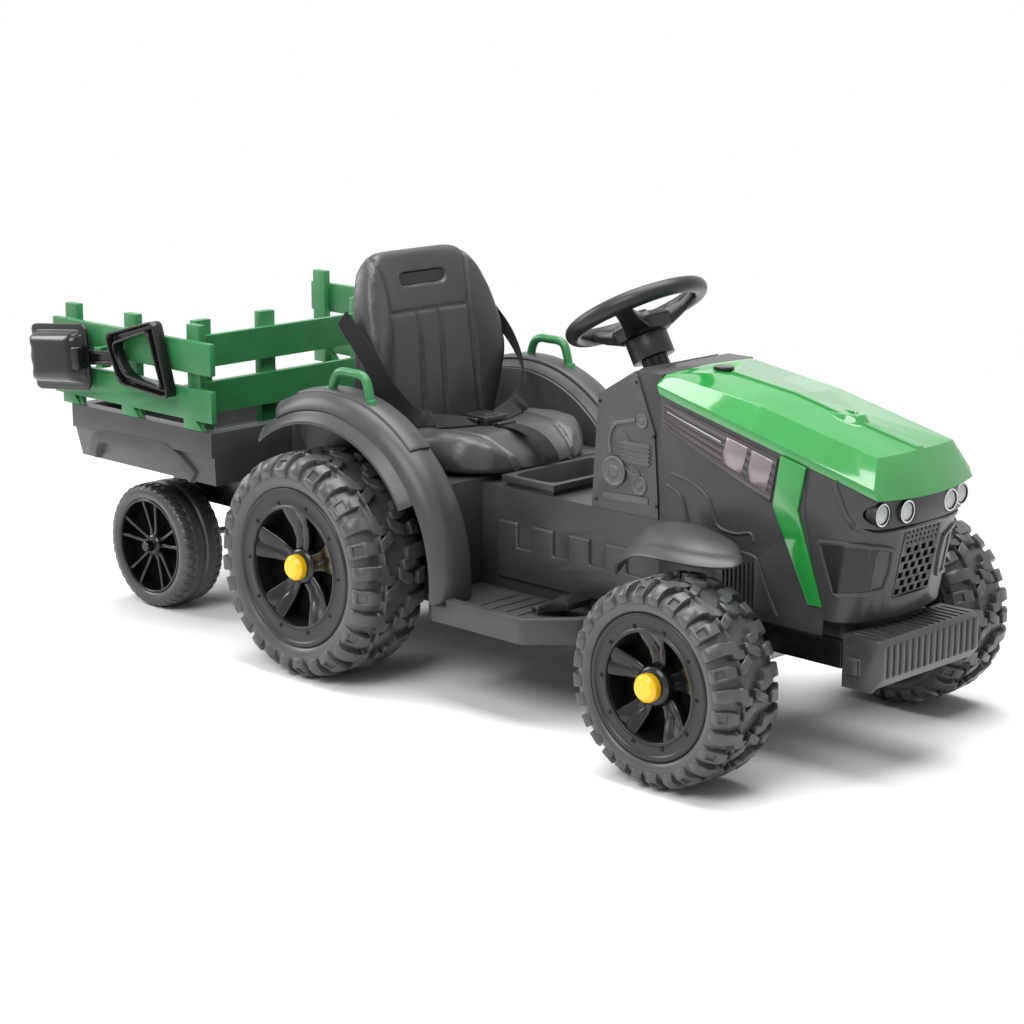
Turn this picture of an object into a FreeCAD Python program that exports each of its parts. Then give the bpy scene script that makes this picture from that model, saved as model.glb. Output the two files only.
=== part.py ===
import FreeCAD
import Part
import math
import os

# Ride-on tractor toy with a slatted trailer and a clip-on shovel, in millimetres.
# Places along X count from the rear axle, +X is forward, +Y is the rider's left,
# +Z is up from the ground. Saving moves the middle of the overall length to X = 0.

# Fits and cuts
overrun = 6.0
slip = 0.4
bore_gap = 0.1
seam = 0.2
full_turn = 360.0

# Wheels: places, tyres and rims
wheelbase = 607.0
rear_tyre_radius = 146.0
rear_tyre_width = 112.0
rear_bead_radius = 104.0
rear_wheel_gap = 7.0
front_tyre_radius = 120.0
front_tyre_width = 100.0
front_bead_radius = 86.0
front_face_y = 273.0
trailer_axle_x = -407.0
trailer_tyre_radius = 88.5
trailer_tyre_width = 70.0
trailer_bead_radius = 68.0
trailer_face_y = 184.0
lug_height = 8.5
lug_count = 20
lug_thick_share = 0.52
lug_skew_share = 0.42
lug_middle_share = 0.5
tyre_crown_shares = [(0.62, 1.0), (0.90, 0.80), (1.0, 0.45)]
tyre_cavity_shares = [(0.0, 0.78), (0.74, 0.60), (0.74, -0.60), (0.0, -0.78)]
lug_shares = [(0.04, 1.0), (0.80, 1.0), (1.0, 0.1), (1.0, -1.0), (0.72, -0.6), (0.04, -0.35)]
road_groove_width = 7.0
road_groove_depth = 4.0
rim_face_inset = 3.0
rim_edge_inset = 3.0
rim_barrel_wall = 4.0
rim_plate_depth = 26.0
rim_plate_wall = 6.0
rim_ring_share = 0.76
rim_dish_share = 0.68
rim_hub_radius = 26.0
rim_hub_proud = 3.0
spoke_count = 5
spoke_window_outer_share = 0.65
spoke_window_inner_gap = 5.0
spoke_window_angle = 42.0
spoke_window_start = 90.0
spoke_groove_width = 7.0
spoke_groove_depth = 3.0
thin_spoke_count = 10
thin_spoke_width = 9.0
cap_radius = 16.5
cap_height = 14.0
cap_dome = 5.0
cap_crown_share = 0.72
rear_hub_inset = 1.0
front_hub_face_y = 278.0
axle_radius = 5.0
axle_end_gap = 0.4

# Floor pan with footboards
floor_bottom_z = 105.0
floor_top_z = 125.0
floor_wall = 4.0
pan_back_x = -129.0
pan_front_x = 455.0
wing_back_x = 184.0
wing_side_y = 210.0
wing_straight_x = 352.0
wing_curve_x = 402.0
wing_curve_y = 160.0
wing_front_x = 432.0
wing_corner = 16.0
sill_height = 11.0
sill_width = 13.0
sill_back_x = 224.0
tread_rib_height = 2.0
tread_rib_width = 5.0
tread_rib_pitch = 22.0
tread_rib_count = 7
tread_first_x = 240.0

# Rear body: seat base and rear fenders
body_half = 150.0
body_wall = 4.0
fender_wall = 4.0
deck_z = 262.0
base_front_x = 165.0
deck_hole_half_x = 55.0
deck_hole_half_y = 60.0
fender_gap = 73.0
fender_lip_drop = 23.0
fender_reach = 62.0
fender_front_angle = -8.0
fender_back_angle = 117.0
fender_section_shares = [(0.0, 0.45), (0.16, 0.87), (0.48, 1.0), (0.73, 0.91), (0.92, 0.52), (1.0, 0.0)]
flange_root_reach = 57.0
flange_reach = 73.0
flange_root_drop = 21.0
flange_lip_drop = 36.0
flange_front_angle = 31.0
flange_back_angle = 128.0
flange_tail_angle = 110.0
motor_hole_radius = 13.0

# Grab handles on the fenders
handle_reach = 32.0
handle_back_x = -28.0
handle_front_x = 76.0
handle_rise = 31.0
handle_slope = 20.0
handle_bar = 12.0
handle_corner = 8.0
handle_foot_drop = 60.0

# Console with storage bin
console_half = 88.0
console_wall = 3.5
console_top_z = 256.0
bin_back_x = 202.0
bin_front_x = 282.0
bin_half = 80.0
bin_wall = 4.0
bin_floor_z = 176.0
bin_rim_z = 270.0
bin_rim_drop = 8.0
bin_rim_reach = 5.0
pad_height = 2.5
pad_back_x = 196.0
pad_front_x = 440.0
pad_low_z = 140.0
pad_step_z = 182.0
pad_high_z = 214.0
pad_step_count = 4
pad_gap_share = 0.42

# Cowl, dashboard and engine plates
cowl_half = 84.5
cowl_wall = 3.5
cowl_back_x = 353.0
cowl_front_x = 467.0
dash_low_x = 363.0
dash_low_z = 396.0
dash_top_x = 422.0
dash_top_z = 431.0
cowl_roof_x = 460.0
cowl_brow_z = 398.0
dash_panel_half = 70.0
dash_panel_thick = 3.0
dash_panel_shares = (0.06, 0.94)
plate_thick = 3.0
plate_front_x = 461.0
plate_waist_z = 361.0
plate_waist_x = 453.0
plate_relief = 1.5
plate_pulley_radius = 15.0
plate_relief_shares = [(0.32, 0.30, 1.0), (0.64, 0.34, 0.72), (0.46, 0.62, 0.85)]

# Steering: tilted column, wheel, pitman arm, tie rod and knuckles
ring_x = 344.0
ring_z = 483.4
steer_tilt = 29.5
ring_radius = 82.0
ring_tube = 10.5
grip_sides = 8
hub_top = -8.0
hub_bottom = -34.0
hub_radius = 30.0
collar_radius = 27.0
collar_bottom = -62.0
column_radius = 16.5
column_bottom = -98.0
column_hole_gap = 1.5
flute_count = 12
flute_radius = 2.2
shaft_radius = 6.0
shaft_bottom = -410.0
arm_length = 40.0
arm_thick = 10.0
arm_half = 8.0
arm_pin_radius = 4.0
arm_pin_length = 20.0
spoke_width = 20.0
spoke_thick = 9.0
spoke_angles = (60.0, 180.0, 300.0)
horn_radius = 13.0
horn_height = 6.0
horn_sink = 4.0
horn_travel = 3.0
knuckle_arm_length = 60.0
tie_low_z = 94.2
tie_thick = 6.0
tie_half_bar = 6.0
tie_eye_half = 14.0
tie_slot_side = 1.0
tie_slot_ahead = 6.0
tie_tongue_back_x = 500.0
tie_tongue_half = 15.0
tongue_slot_back = 9.0
tongue_slot_ahead = 13.0
pin_radius = 4.0
kingpin_y = 160.0
kingpin_radius = 5.0
knuckle_radius = 11.0
knuckle_arm_half = 7.0
knuckle_arm_thick = 7.0
yoke_plate = 7.0
yoke_half_x = 15.0
yoke_eye_radius = 12.0
yoke_web_y = 140.0
yoke_gap_half = 20.0
beam_half_x = 12.0
beam_low_z = 112.0
stub_collar_radius = 10.0

# Front frame and bumper
rail_back_x = 467.0
rail_front_x = 742.0
rail_low_z = 133.0
rail_top_z = 165.0
rail_outer_y = 95.0
rail_width = 12.0
cross_depth = 12.0
cross_share = 0.35
bearing_half = 15.0
bumper_front_x = 797.0
bumper_half = 93.5
bumper_low_z = 112.0
bumper_face_low_z = 130.0
bumper_top_z = 174.0
bumper_edge = 7.0
bumper_wall = 5.0
bumper_groove_count = 15
bumper_groove_width = 5.0
bumper_groove_depth = 3.0
bumper_boss = 18.0
bumper_boss_proud = 5.0

# Engine bay: side covers, hood, nose
bay_half = 93.0
bay_wall = 4.0
hood_back_x = 463.0
hood_skirt_x = 473.0
hood_mid_x = 600.0
hood_front_x = 800.0
hood_back_top = 431.0
hood_mid_top = 412.0
hood_front_top = 367.0
hood_back_low = 411.0
hood_front_low = 327.0
hood_shoulder_back = 77.0
hood_shoulder_front = 71.0
hood_side_back = 97.0
hood_side_front = 90.0
hood_band = 10.0
hood_wall = 3.0
hood_crown = 2.5
hood_brow_x = 772.0
hood_brow_side_x = 757.0
hood_brow_z = 376.0
hood_nose_drop = 46.0
hood_nose_ahead = 22.0
rib_half = 6.0
rib_proud = 2.5
scoop_x = 668.0
scoop_long = 34.0
scoop_short = 20.0
scoop_proud = 8.0
scoop_crown_share = 0.72
scoop_hole_share = 0.46
cap_ring_x = 485.0
cap_ring_radius = 11.0
cap_ring_proud = 3.0
cap_ring_sink = 4.0
nose_top_z = 356.0
band_low_z = 297.0
nose_low_z = 184.0
band_step = 4.0
band_back_x = 684.0
band_corner_x = 752.0
band_face_x = 774.0
band_face_y = 82.0
band_centre_x = 789.0
skirt_back_x = 713.0
skirt_lean = 22.0
skirt_face_y = 78.0
nose_wall = 5.0
light_radius = 11.0
light_ring = 2.5
light_z = 313.0
light_places_y = (75.0, 41.0)
light_depth = 12.0
light_proud = 2.5
lens_inset = 2.0
grille_half = 35.0
grille_top_z = 292.0
grille_low_z = 208.0
grille_thick = 5.0
grille_gap = 0.4
grille_rows = 6
grille_columns = 5
grille_bar = 3.0
grille_hole_rows = 3
grille_hole_columns = 8
grille_hole_part_share = 0.3
strip_thick = 4.0
fin_count = 8
fin_back_x = 566.0
fin_front_x = 610.0
fin_width = 2.5
fin_depth = 2.0
fin_low_z = 178.0
fin_back_top_z = 216.0
fin_front_top_z = 233.0
vent_thick = 2.5
vent_back_x = 473.0
vent_drop = 6.0
vent_back_height = 30.0
vent_front_height = 53.0
vent_front_x = 645.0
vent_groove_count = 4
vent_groove_width = 3.0
vent_groove_depth = 1.2
strip_width = 36.0
strip_foot_width = 19.0
strip_kink_x = 640.0
strip_kink_z = 305.0
strip_top_x = 650.0
strip_foot_x = 694.0
strip_foot_z = 199.0

# Front fenders
mud_crown_radius = 168.0
mud_lip_radius = 147.0
mud_lip_y = 206.0
mud_wall = 4.0
mud_front_angle = 67.0
mud_back_angle = 138.0
mud_section_shares = [(0.0, 0.55), (0.22, 0.90), (0.45, 1.0), (0.70, 0.88), (0.90, 0.48), (1.0, 0.0)]
mud_taper_x = 640.0
mud_taper_y = 170.0

# Seat and harness
seat_section_heights = (262.3, 300.0, 330.0, 382.0, 421.0, 467.0, 500.0, 519.0, 528.0)
seat_section_halves = (108.0, 116.0, 121.0, 124.0, 122.0, 114.0, 102.0, 86.0, 66.0)
seat_section_fronts = (-5.0, -9.0, -12.0, -17.0, -20.0, -26.0, -33.0, -39.0, -46.0)
seat_section_depths = (52.0, 52.0, 51.0, 50.0, 48.0, 44.0, 38.0, 30.0, 18.0)
seat_section_prouds = (2.0, 3.0, 13.0, 28.0, 26.0, 16.0, 9.0, 5.0, 2.0)
seat_bolster_shares = (1.0, 0.93, 0.70, 0.58)
seat_channel_y = 19.5
seat_channel_half = 3.0
seat_channel_depth = 4.0
seat_channel_top_z = 455.0
cushion_lift = 0.5
cushion_stations = (-2.0, 50.0, 110.0, 150.0, 180.0, 196.0)
cushion_halves = (122.0, 128.0, 131.0, 122.0, 92.0, 60.0)
cushion_tops = (300.0, 304.0, 307.0, 306.0, 297.0, 283.0)
cushion_bolster_rise = 11.0
cushion_edge_share = 0.86
cushion_dish_share = 0.55
cushion_seam_share = 0.30
cushion_seam_half = 2.5
cushion_seam_depth = 3.0
cushion_belly_share = 0.45
cushion_tuck = 8.0
strap_width = 26.0
strap_thick = 2.5
buckle_x = 84.0
buckle_z = 307.4
buckle_length = 44.0
buckle_half = 21.0
buckle_thick = 13.0

# Drive: battery, gear motors
battery_back_x = 78.0
battery_length = 70.0
battery_half = 48.0
battery_height = 94.0
gear_back_x = -34.0
gear_front_x = 52.0
gear_half_height = 19.0
gear_inner_y = 98.0
motor_x = 32.0
motor_radius = 17.0
motor_length = 56.0
motor_boss_radius = 11.0

# Pedal and dash controls
pedal_hinge_x = 322.0
pedal_y = -130.0
pedal_half = 20.0
pedal_hinge_rise = 6.0
pedal_length = 52.0
pedal_high = 32.0
pedal_nose = 10.0
pedal_lift = 9.0
pedal_pin_radius = 2.5
pedal_ear = 5.0
pedal_eye_radius = 5.0
start_button_y = 44.0
start_button_radius = 8.0
start_button_flange = 2.5
rocker_y = -44.0
rocker_half_x = 8.0
rocker_half_y = 12.0
rocker_pin_radius = 2.0
rocker_pin_end = 3.0
rocker_gap = 1.0
rocker_height = 5.0
control_share = 0.5
control_proud = 5.0
control_depth = 9.0

# Hitch and trailer
hitch_x = -155.0
hitch_plate_low_z = 168.0
hitch_plate = 8.0
hitch_half = 22.0
hitch_foot = 4.0
hitch_pin_radius = 6.0
hitch_pin_head = 11.0
hitch_head_height = 6.0
tub_back_x = -490.0
tub_front_x = -184.0
tub_half = 243.0
tub_low_z = 217.0
tub_step_z = 257.0
tub_top_z = 290.0
tub_wall = 5.0
tub_step = 5.0
tub_draft = 12.0
tub_rim_width = 20.0
tub_rim_height = 6.0
arch_half = 118.0
arch_foot_spread = 26.0
arch_top_z = 272.0
arch_proud = 4.0
slat_back_x = -528.0
slat_front_x = -182.0
slat_outer_y = 243.0
slat_thick = 9.0
slat_low_z = 303.0
slat_height = 43.0
slat_gap = 20.0
post_width = 26.0
post_thick = 12.0
post_top_z = 429.0
post_shares = (0.09, 0.475, 0.865)
front_slat_x = -262.0
front_slat_half = 212.0
front_post_half_shares = (-0.935, -0.41, 0.41, 0.935)
post_pad = 3.0
post_pad_margin = 2.0
frame_back_x = -446.0
frame_front_x = -296.0
frame_half = 104.0
frame_low_z = 146.0
frame_wall = 5.0
axle_leg_half = 16.0
axle_leg_thick = 8.0
drawbar_half = 18.0

# Shovel and its clips
shovel_y = -249.0
shovel_thick = 10.0
shovel_axis_z = 366.0
shovel_rise = 6.0
blade_back_x = -558.0
blade_front_x = -428.0
blade_half_z = 46.0
blade_depth = 28.0
blade_wall = 3.0
blade_taper = 9.0
blade_rim = 9.0
shovel_neck_x = -366.0
shaft_half = 10.0
grip_front_x = -248.0
grip_back_half = 34.0
grip_front_half = 52.0
grip_rake = 20.0
grip_bar = 15.0
grip_corner = 9.0
clip_x = -412.0
clip_width = 16.0
clip_wall = 4.0

# Places that follow from the sizes above
rear_axle_z = rear_tyre_radius
front_axle_z = front_tyre_radius
trailer_axle_z = trailer_tyre_radius
rear_face_y = body_half + rear_wheel_gap + rear_tyre_width
rear_mid_y = rear_face_y - rear_tyre_width / 2
rear_hub_face_y = rear_face_y - rear_hub_inset
fender_radius = rear_tyre_radius + fender_gap
fender_lip_radius = fender_radius - fender_lip_drop
flange_root_radius = fender_radius - flange_root_drop
flange_lip_radius = fender_radius - flange_lip_drop
handle_top_z = rear_axle_z + fender_radius + handle_rise
fender_lip_y = body_half + fender_reach
flange_root_y = body_half + flange_root_reach
flange_lip_y = body_half + flange_reach
handle_y = body_half + handle_reach
tie_x = wheelbase - knuckle_arm_length
front_mid_y = front_face_y - front_tyre_width / 2
trailer_mid_y = trailer_face_y - trailer_tyre_width / 2
slat_top_z = slat_low_z + 2 * slat_height + slat_gap
blade_turn = math.radians(shovel_rise)
blade_tip_x = clip_x + (blade_back_x - clip_x) * math.cos(blade_turn) - blade_half_z * math.sin(blade_turn)
overall_back_x = min(blade_tip_x, slat_back_x)
cushion_low_z = deck_z + cushion_lift
middle_x = (bumper_front_x + overall_back_x) / 2
steer_sin = math.sin(math.radians(steer_tilt))
steer_cos = math.cos(math.radians(steer_tilt))
hood_low_slope = (hood_front_low - hood_back_low) / (hood_front_x - hood_back_x)


def at(x, y, z):
    return FreeCAD.Vector(x, y, z)


def closed(points):
    return Part.Face(Part.makePolygon(points + points[:1]))


def rounded(points, radius):
    """Face of a closed flat outline with every corner rounded alike."""
    turns = []
    for i, corner in enumerate(points):
        back = (points[i - 1] - corner).normalize()
        ahead = (points[(i + 1) % len(points)] - corner).normalize()
        half = back.getAngle(ahead) / 2
        reach = radius / math.tan(half)
        inward = (back + ahead).normalize() * (radius / math.sin(half) - radius)
        turns.append((corner + back * reach, corner + inward, corner + ahead * reach))
    edges = []
    for i, (first, middle, last) in enumerate(turns):
        edges.append(Part.Arc(first, middle, last).toShape())
        edges.append(Part.LineSegment(last, turns[(i + 1) % len(turns)][0]).toShape())
    return Part.Face(Part.Wire(edges))


def block(x0, x1, y0, y1, z0, z1):
    return Part.makeBox(x1 - x0, y1 - y0, z1 - z0, at(x0, y0, z0))


def along_x(outline, x0, x1):
    return closed([at(x0, y, z) for y, z in outline]).extrude(at(x1 - x0, 0, 0))


def along_y(outline, y0, y1):
    return closed([at(x, y0, z) for x, z in outline]).extrude(at(0, y1 - y0, 0))


def along_z(outline, z0, z1):
    return closed([at(x, y, z0) for x, y in outline]).extrude(at(0, 0, z1 - z0))


def rod_y(radius, y0, y1, x, z):
    return Part.makeCylinder(radius, y1 - y0, at(x, y0, z), at(0, 1, 0))


def rod_z(radius, z0, z1, x, y):
    return Part.makeCylinder(radius, z1 - z0, at(x, y, z0))


def turned(profile):
    """Full turn about the Y axis of a profile of radius and place along Y."""
    return closed([at(radius, y, 0) for radius, y in profile]).revolve(at(0, 0, 0), at(0, 1, 0), full_turn)


def moved(shape, x, y, z):
    copy = shape.copy()
    copy.translate(at(x, y, z))
    return copy


def spun(shape, angle):
    """Copy turned about the Y axis, from +X up towards +Z."""
    copy = shape.copy()
    copy.rotate(at(0, 0, 0), at(0, -1, 0), angle)
    return copy


def other_side(shape):
    return shape.mirror(at(0, 0, 0), at(0, 1, 0))


def both_sides(shape):
    return Part.makeCompound([shape, other_side(shape)])


def joined(shapes):
    return shapes[0].multiFuse(shapes[1:]).removeSplitter()


def line_z(x, x0, z0, x1, z1):
    """Height at x on the straight line through two points."""
    return z0 + (z1 - z0) * (x - x0) / (x1 - x0)


def ruled(sections):
    return Part.makeLoft([Part.makePolygon(points + points[:1]) for points in sections], True, True)


def save(name, shape):
    moved(shape, -middle_x, 0, 0).exportStep("parts/" + name + ".step")


# Wheels


def many_sided(radius, y):
    """Closed outline round the wheel's axis with one flat for each lug, at its inner radius."""
    count = 2 * lug_count
    reach = radius / math.cos(math.pi / count)
    angles = [math.pi / count * (2 * i + 1) for i in range(count)]
    return [at(reach * math.sin(angle), y, reach * math.cos(angle)) for angle in angles]


def one_lug(radius, width, side):
    """One tread lug, leaning across the tread, at the top of the wheel."""
    half = width / 2
    base = radius - lug_height
    thick = 2 * math.pi * radius / lug_count * lug_thick_share
    points = []
    for y_share, z_share in lug_shares:
        lean = lug_skew_share * half * (y_share - lug_middle_share)
        rise = lug_height + overrun if z_share == 1.0 else lug_height * z_share
        points.append(at(lean - thick / 2, side * half * y_share, base + rise))
    lug = closed(points).extrude(at(thick, 0, 0))
    return lug.common(closed(many_sided(radius, -width)).extrude(at(0, 2 * width, 0)))


def tyre_room(bead_radius, span, half):
    """Turned space inside a tyre: the bead opening and the air chamber."""
    cavity = [(bead_radius + span * r, half * y) for r, y in tyre_cavity_shares]
    return turned([(bead_radius, half + overrun)] + cavity + [
        (bead_radius, -half - overrun), (0, -half - overrun), (0, half + overrun)])


def lugged_tyre(radius, width, bead_radius):
    half = width / 2
    span = radius - lug_height - bead_radius
    rings = [(bead_radius + span * r, half * y) for r, y in tyre_crown_shares]
    rings += [(r, -y) for r, y in reversed(rings)]
    pieces = [ruled([many_sided(r, y) for r, y in rings])]
    step = full_turn / lug_count
    for side, start in ((1, 0.0), (-1, step / 2)):
        lug = one_lug(radius, width, side)
        pieces += [spun(lug, start + step * i) for i in range(lug_count)]
    return joined(pieces).cut(tyre_room(bead_radius, span, half))


def road_tyre(radius, width, bead_radius):
    half = width / 2
    span = radius - bead_radius
    groove = road_groove_width / 2
    outer = [(bead_radius + span * r, half * y) for r, y in tyre_crown_shares]
    left = [(bead_radius, half)] + outer + [(radius, groove)]
    floor = [(radius - road_groove_depth, 0)]
    right = [(r, -y) for r, y in reversed(left)]
    return turned(left + floor + right).cut(tyre_room(bead_radius, span, half))


def rim_blank(width, bead_radius, hub_end):
    """Turned rim with its outer face towards +Y: barrel, ring, dish, plate and hub."""
    half = width / 2
    edge = bead_radius - seam
    bore = axle_radius + bore_gap
    face = half - rim_face_inset
    plate = half - rim_plate_depth
    inner = edge - rim_barrel_wall
    back = rim_edge_inset - half
    return turned([
        (bore, back), (rim_hub_radius, back), (rim_hub_radius, plate - rim_plate_wall),
        (inner, plate - rim_plate_wall), (inner, back), (edge, back), (edge, face),
        (edge * rim_ring_share, face), (edge * rim_dish_share, plate),
        (rim_hub_radius, plate), (rim_hub_radius, hub_end), (bore, hub_end),
    ])


def plate_cut(points, width):
    return closed([at(x, -width, z) for x, z in points]).extrude(at(0, 2 * width, 0))


def tractor_rim(width, bead_radius, hub_end):
    """Five wide spokes, each with a groove down its middle."""
    rim = rim_blank(width, bead_radius, hub_end)
    inner = rim_hub_radius + spoke_window_inner_gap
    outer = bead_radius * spoke_window_outer_share
    narrow = inner * math.tan(math.radians(spoke_window_angle / 2))
    wide = outer * math.tan(math.radians(spoke_window_angle / 2))
    window = plate_cut([(inner, -narrow), (outer, -wide), (outer, wide), (inner, narrow)], width)
    top = width / 2 - rim_plate_depth
    half = spoke_groove_width / 2
    groove = block(inner, outer, top - spoke_groove_depth, top + overrun, -half, half)
    step = full_turn / spoke_count
    cuts = [spun(window, spoke_window_start + step * i) for i in range(spoke_count)]
    cuts += [spun(groove, spoke_window_start + step * (i + 0.5)) for i in range(spoke_count)]
    return rim.cut(cuts)


def thin_spoke_rim(width, bead_radius, hub_end):
    rim = rim_blank(width, bead_radius, hub_end)
    inner = rim_hub_radius + spoke_window_inner_gap / 2
    outer = bead_radius * spoke_window_outer_share
    angle = math.pi / thin_spoke_count
    narrow = inner * math.tan(angle) - thin_spoke_width / 2
    wide = outer * math.tan(angle) - thin_spoke_width / 2
    window = plate_cut([(inner, -narrow), (outer, -wide), (outer, wide), (inner, narrow)], width)
    step = full_turn / thin_spoke_count
    return rim.cut([spun(window, spoke_window_start + step * i) for i in range(thin_spoke_count)])


def hub_cap(hub_end):
    """Domed cap seated on the hub face, over the end of the axle."""
    top = hub_end + cap_height
    return turned([
        (0, hub_end), (cap_radius, hub_end), (cap_radius, top - cap_dome), (cap_radius * cap_crown_share, top), (0, top),
    ])


def save_wheel(name, pieces, x, mid_y, z):
    """Saves the pieces of one wheel at the left, and their mirror images at the right."""
    for piece, shape in pieces:
        left = moved(shape, x, mid_y, z)
        save(name + "_left_" + piece, left)
        save(name + "_right_" + piece, other_side(left))


def make_wheels():
    rear_end = rear_hub_face_y - cap_height - rear_mid_y
    front_end = front_hub_face_y - cap_height - front_mid_y
    trailer_end = trailer_tyre_width / 2 + rim_hub_proud
    save_wheel("rear_wheel", [
        ("tyre", lugged_tyre(rear_tyre_radius, rear_tyre_width, rear_bead_radius)),
        ("rim", tractor_rim(rear_tyre_width, rear_bead_radius, rear_end)),
        ("cap", hub_cap(rear_end)),
    ], 0, rear_mid_y, rear_axle_z)
    save_wheel("front_wheel", [
        ("tyre", lugged_tyre(front_tyre_radius, front_tyre_width, front_bead_radius)),
        ("rim", tractor_rim(front_tyre_width, front_bead_radius, front_end)),
        ("cap", hub_cap(front_end)),
    ], wheelbase, front_mid_y, front_axle_z)
    save_wheel("trailer_wheel", [
        ("tyre", road_tyre(trailer_tyre_radius, trailer_tyre_width, trailer_bead_radius)),
        ("rim", thin_spoke_rim(trailer_tyre_width, trailer_bead_radius, trailer_end)),
    ], trailer_axle_x, trailer_mid_y, trailer_axle_z)


def rear_axle():
    end = rear_hub_face_y - cap_height - axle_end_gap
    return rod_y(axle_radius, -end, end, 0, rear_axle_z)


# Floor pan, rear body and console


def wing_outline(inset):
    """Plan of both footboards and the tunnel floor between them, drawn in by an inset."""
    side = wing_side_y - inset
    right = [
        (wing_back_x + inset, side), (wing_straight_x - inset / 2, side),
        (wing_curve_x - inset, wing_curve_y - inset / 2), (wing_front_x - inset, console_half - inset / 2),
    ]
    return right + [(x, -y) for x, y in reversed(right)]


def wing_prism(inset, z0, z1):
    face = rounded([at(x, y, z0) for x, y in wing_outline(inset)], wing_corner)
    return face.extrude(at(0, 0, z1 - z0))


def pan_body(inset, z0, z1):
    rear = block(pan_back_x + inset, wing_front_x, inset - body_half, body_half - inset, z0, z1)
    front = block(wing_back_x, pan_front_x - inset, inset - console_half, console_half - inset, z0, z1)
    rear = rear.cut(block(wing_back_x + wing_corner, wing_front_x + overrun, -wing_side_y, wing_side_y,
                          z0 - overrun, z1 + overrun))
    return joined([rear, front, wing_prism(inset, z0, z1)])


def tread_ribs():
    """Raised bars across each footboard, between the console and the sill."""
    inner = console_half + sill_width
    outer = wing_side_y - 2 * sill_width
    ribs = []
    for i in range(tread_rib_count):
        x = tread_first_x + tread_rib_pitch * i
        if abs(x - pedal_hinge_x - pedal_length / 2) < pedal_length / 2 + tread_rib_pitch / 2:
            ribs.append(block(x, x + tread_rib_width, inner, outer - sill_width, floor_top_z - seam,
                              floor_top_z + tread_rib_height))
            continue
        for side in (-1, 1):
            low, high = sorted((side * inner, side * outer))
            ribs.append(block(x, x + tread_rib_width, low, high, floor_top_z - seam,
                              floor_top_z + tread_rib_height))
    return ribs


def pedal_ears():
    ears = []
    for side in (-1, 1):
        start = pedal_y + side * (pedal_half + slip)
        low, high = sorted((start, start + side * pedal_ear))
        z = floor_top_z + pedal_hinge_rise
        ear = joined([
            block(pedal_hinge_x - pedal_eye_radius, pedal_hinge_x + pedal_eye_radius, low, high,
                  floor_top_z - seam, z),
            rod_y(pedal_eye_radius, low, high, pedal_hinge_x, z),
        ])
        ears.append(ear.cut(rod_y(pedal_pin_radius + bore_gap, low - overrun, high + overrun, pedal_hinge_x, z)))
    return ears


def floor_pan():
    pan = pan_body(0, floor_bottom_z, floor_top_z)
    pan = pan.cut(pan_body(floor_wall, floor_bottom_z - overrun, floor_top_z - floor_wall))
    top = floor_top_z + sill_height
    sill = wing_prism(0, floor_top_z, top).cut([
        wing_prism(sill_width, floor_top_z - overrun, top + overrun),
        block(wing_back_x - overrun, sill_back_x, -wing_side_y, wing_side_y, floor_top_z - overrun, top + overrun),
        block(wing_back_x, wing_front_x + overrun, -console_half - sill_width, console_half + sill_width,
              floor_top_z - overrun, top + overrun),
    ])
    return joined([pan, sill] + tread_ribs() + pedal_ears())


def swept(profile, start, end):
    """Turns a profile of radius and place along Y about the rear axle, between two angles."""
    face = closed([at(radius, y, 0) for radius, y in profile])
    solid = spun(face, start).revolve(at(0, 0, 0), at(0, -1, 0), end - start)
    return moved(solid, 0, 0, rear_axle_z)


def fender_skin(grow):
    """Outer skin of the left fender's section, as pairs of radius and place along Y."""
    reach = fender_lip_y - body_half
    rise = fender_radius - fender_lip_radius
    return [(fender_lip_radius + rise * r + grow, body_half + reach * y) for y, r in fender_section_shares]


def fender_shell():
    """Left rear fender: an arched crown that runs down to the floor at its front."""
    skin = fender_skin(0)
    inside = [(r - fender_wall, y) for r, y in skin[:-1]]
    profile = skin + [(fender_lip_radius, fender_lip_y - fender_wall)] + list(reversed(inside))
    shell = swept(profile, fender_front_angle, fender_back_angle)
    span = fender_radius + overrun
    return shell.cut(block(-span, span, 0, fender_lip_y + overrun, floor_bottom_z - span, floor_top_z))


def fender_flange():
    """Lip that stands out below the crown of the left fender and runs on behind it."""
    wall = fender_wall
    root = flange_root_radius
    lip = [(flange_lip_radius, flange_lip_y), (flange_lip_radius - wall, flange_lip_y)]
    side = swept([(root, flange_root_y)] + lip + [(root - wall, flange_root_y)],
                 flange_front_angle, flange_back_angle)
    tail = swept([(root, body_half - wall), (root, flange_root_y), (root - wall, flange_root_y),
                  (root - wall, body_half - wall)], flange_tail_angle, flange_back_angle)
    return joined([side, tail])


def body_side():
    wall = body_half - body_wall
    disc = rod_y(fender_skin(0)[0][0] - fender_wall / 2, wall, body_half, 0, rear_axle_z)
    window = block(pan_back_x, fender_radius, 0, body_half, floor_top_z, rear_axle_z + fender_radius)
    hole = rod_y(motor_hole_radius, 0, body_half + overrun, 0, rear_axle_z)
    return disc.common(window).cut(hole)


def rear_body():
    inner = body_half - body_wall / 2
    back_top_z = rear_axle_z + flange_root_radius * math.sin(math.radians(flange_back_angle))
    deck = block(pan_back_x, base_front_x, -inner, inner, deck_z - body_wall, deck_z).cut(
        block(-deck_hole_half_x, deck_hole_half_x, -deck_hole_half_y, deck_hole_half_y,
              deck_z - body_wall - overrun, deck_z + overrun))
    front = block(base_front_x - body_wall, base_front_x, -inner, inner, floor_top_z, deck_z)
    back = block(pan_back_x, pan_back_x + body_wall, -inner, inner, floor_top_z, back_top_z)
    left = [fender_shell(), fender_flange(), body_side()]
    return joined([deck, front, back] + left + [other_side(piece) for piece in left])


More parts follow.
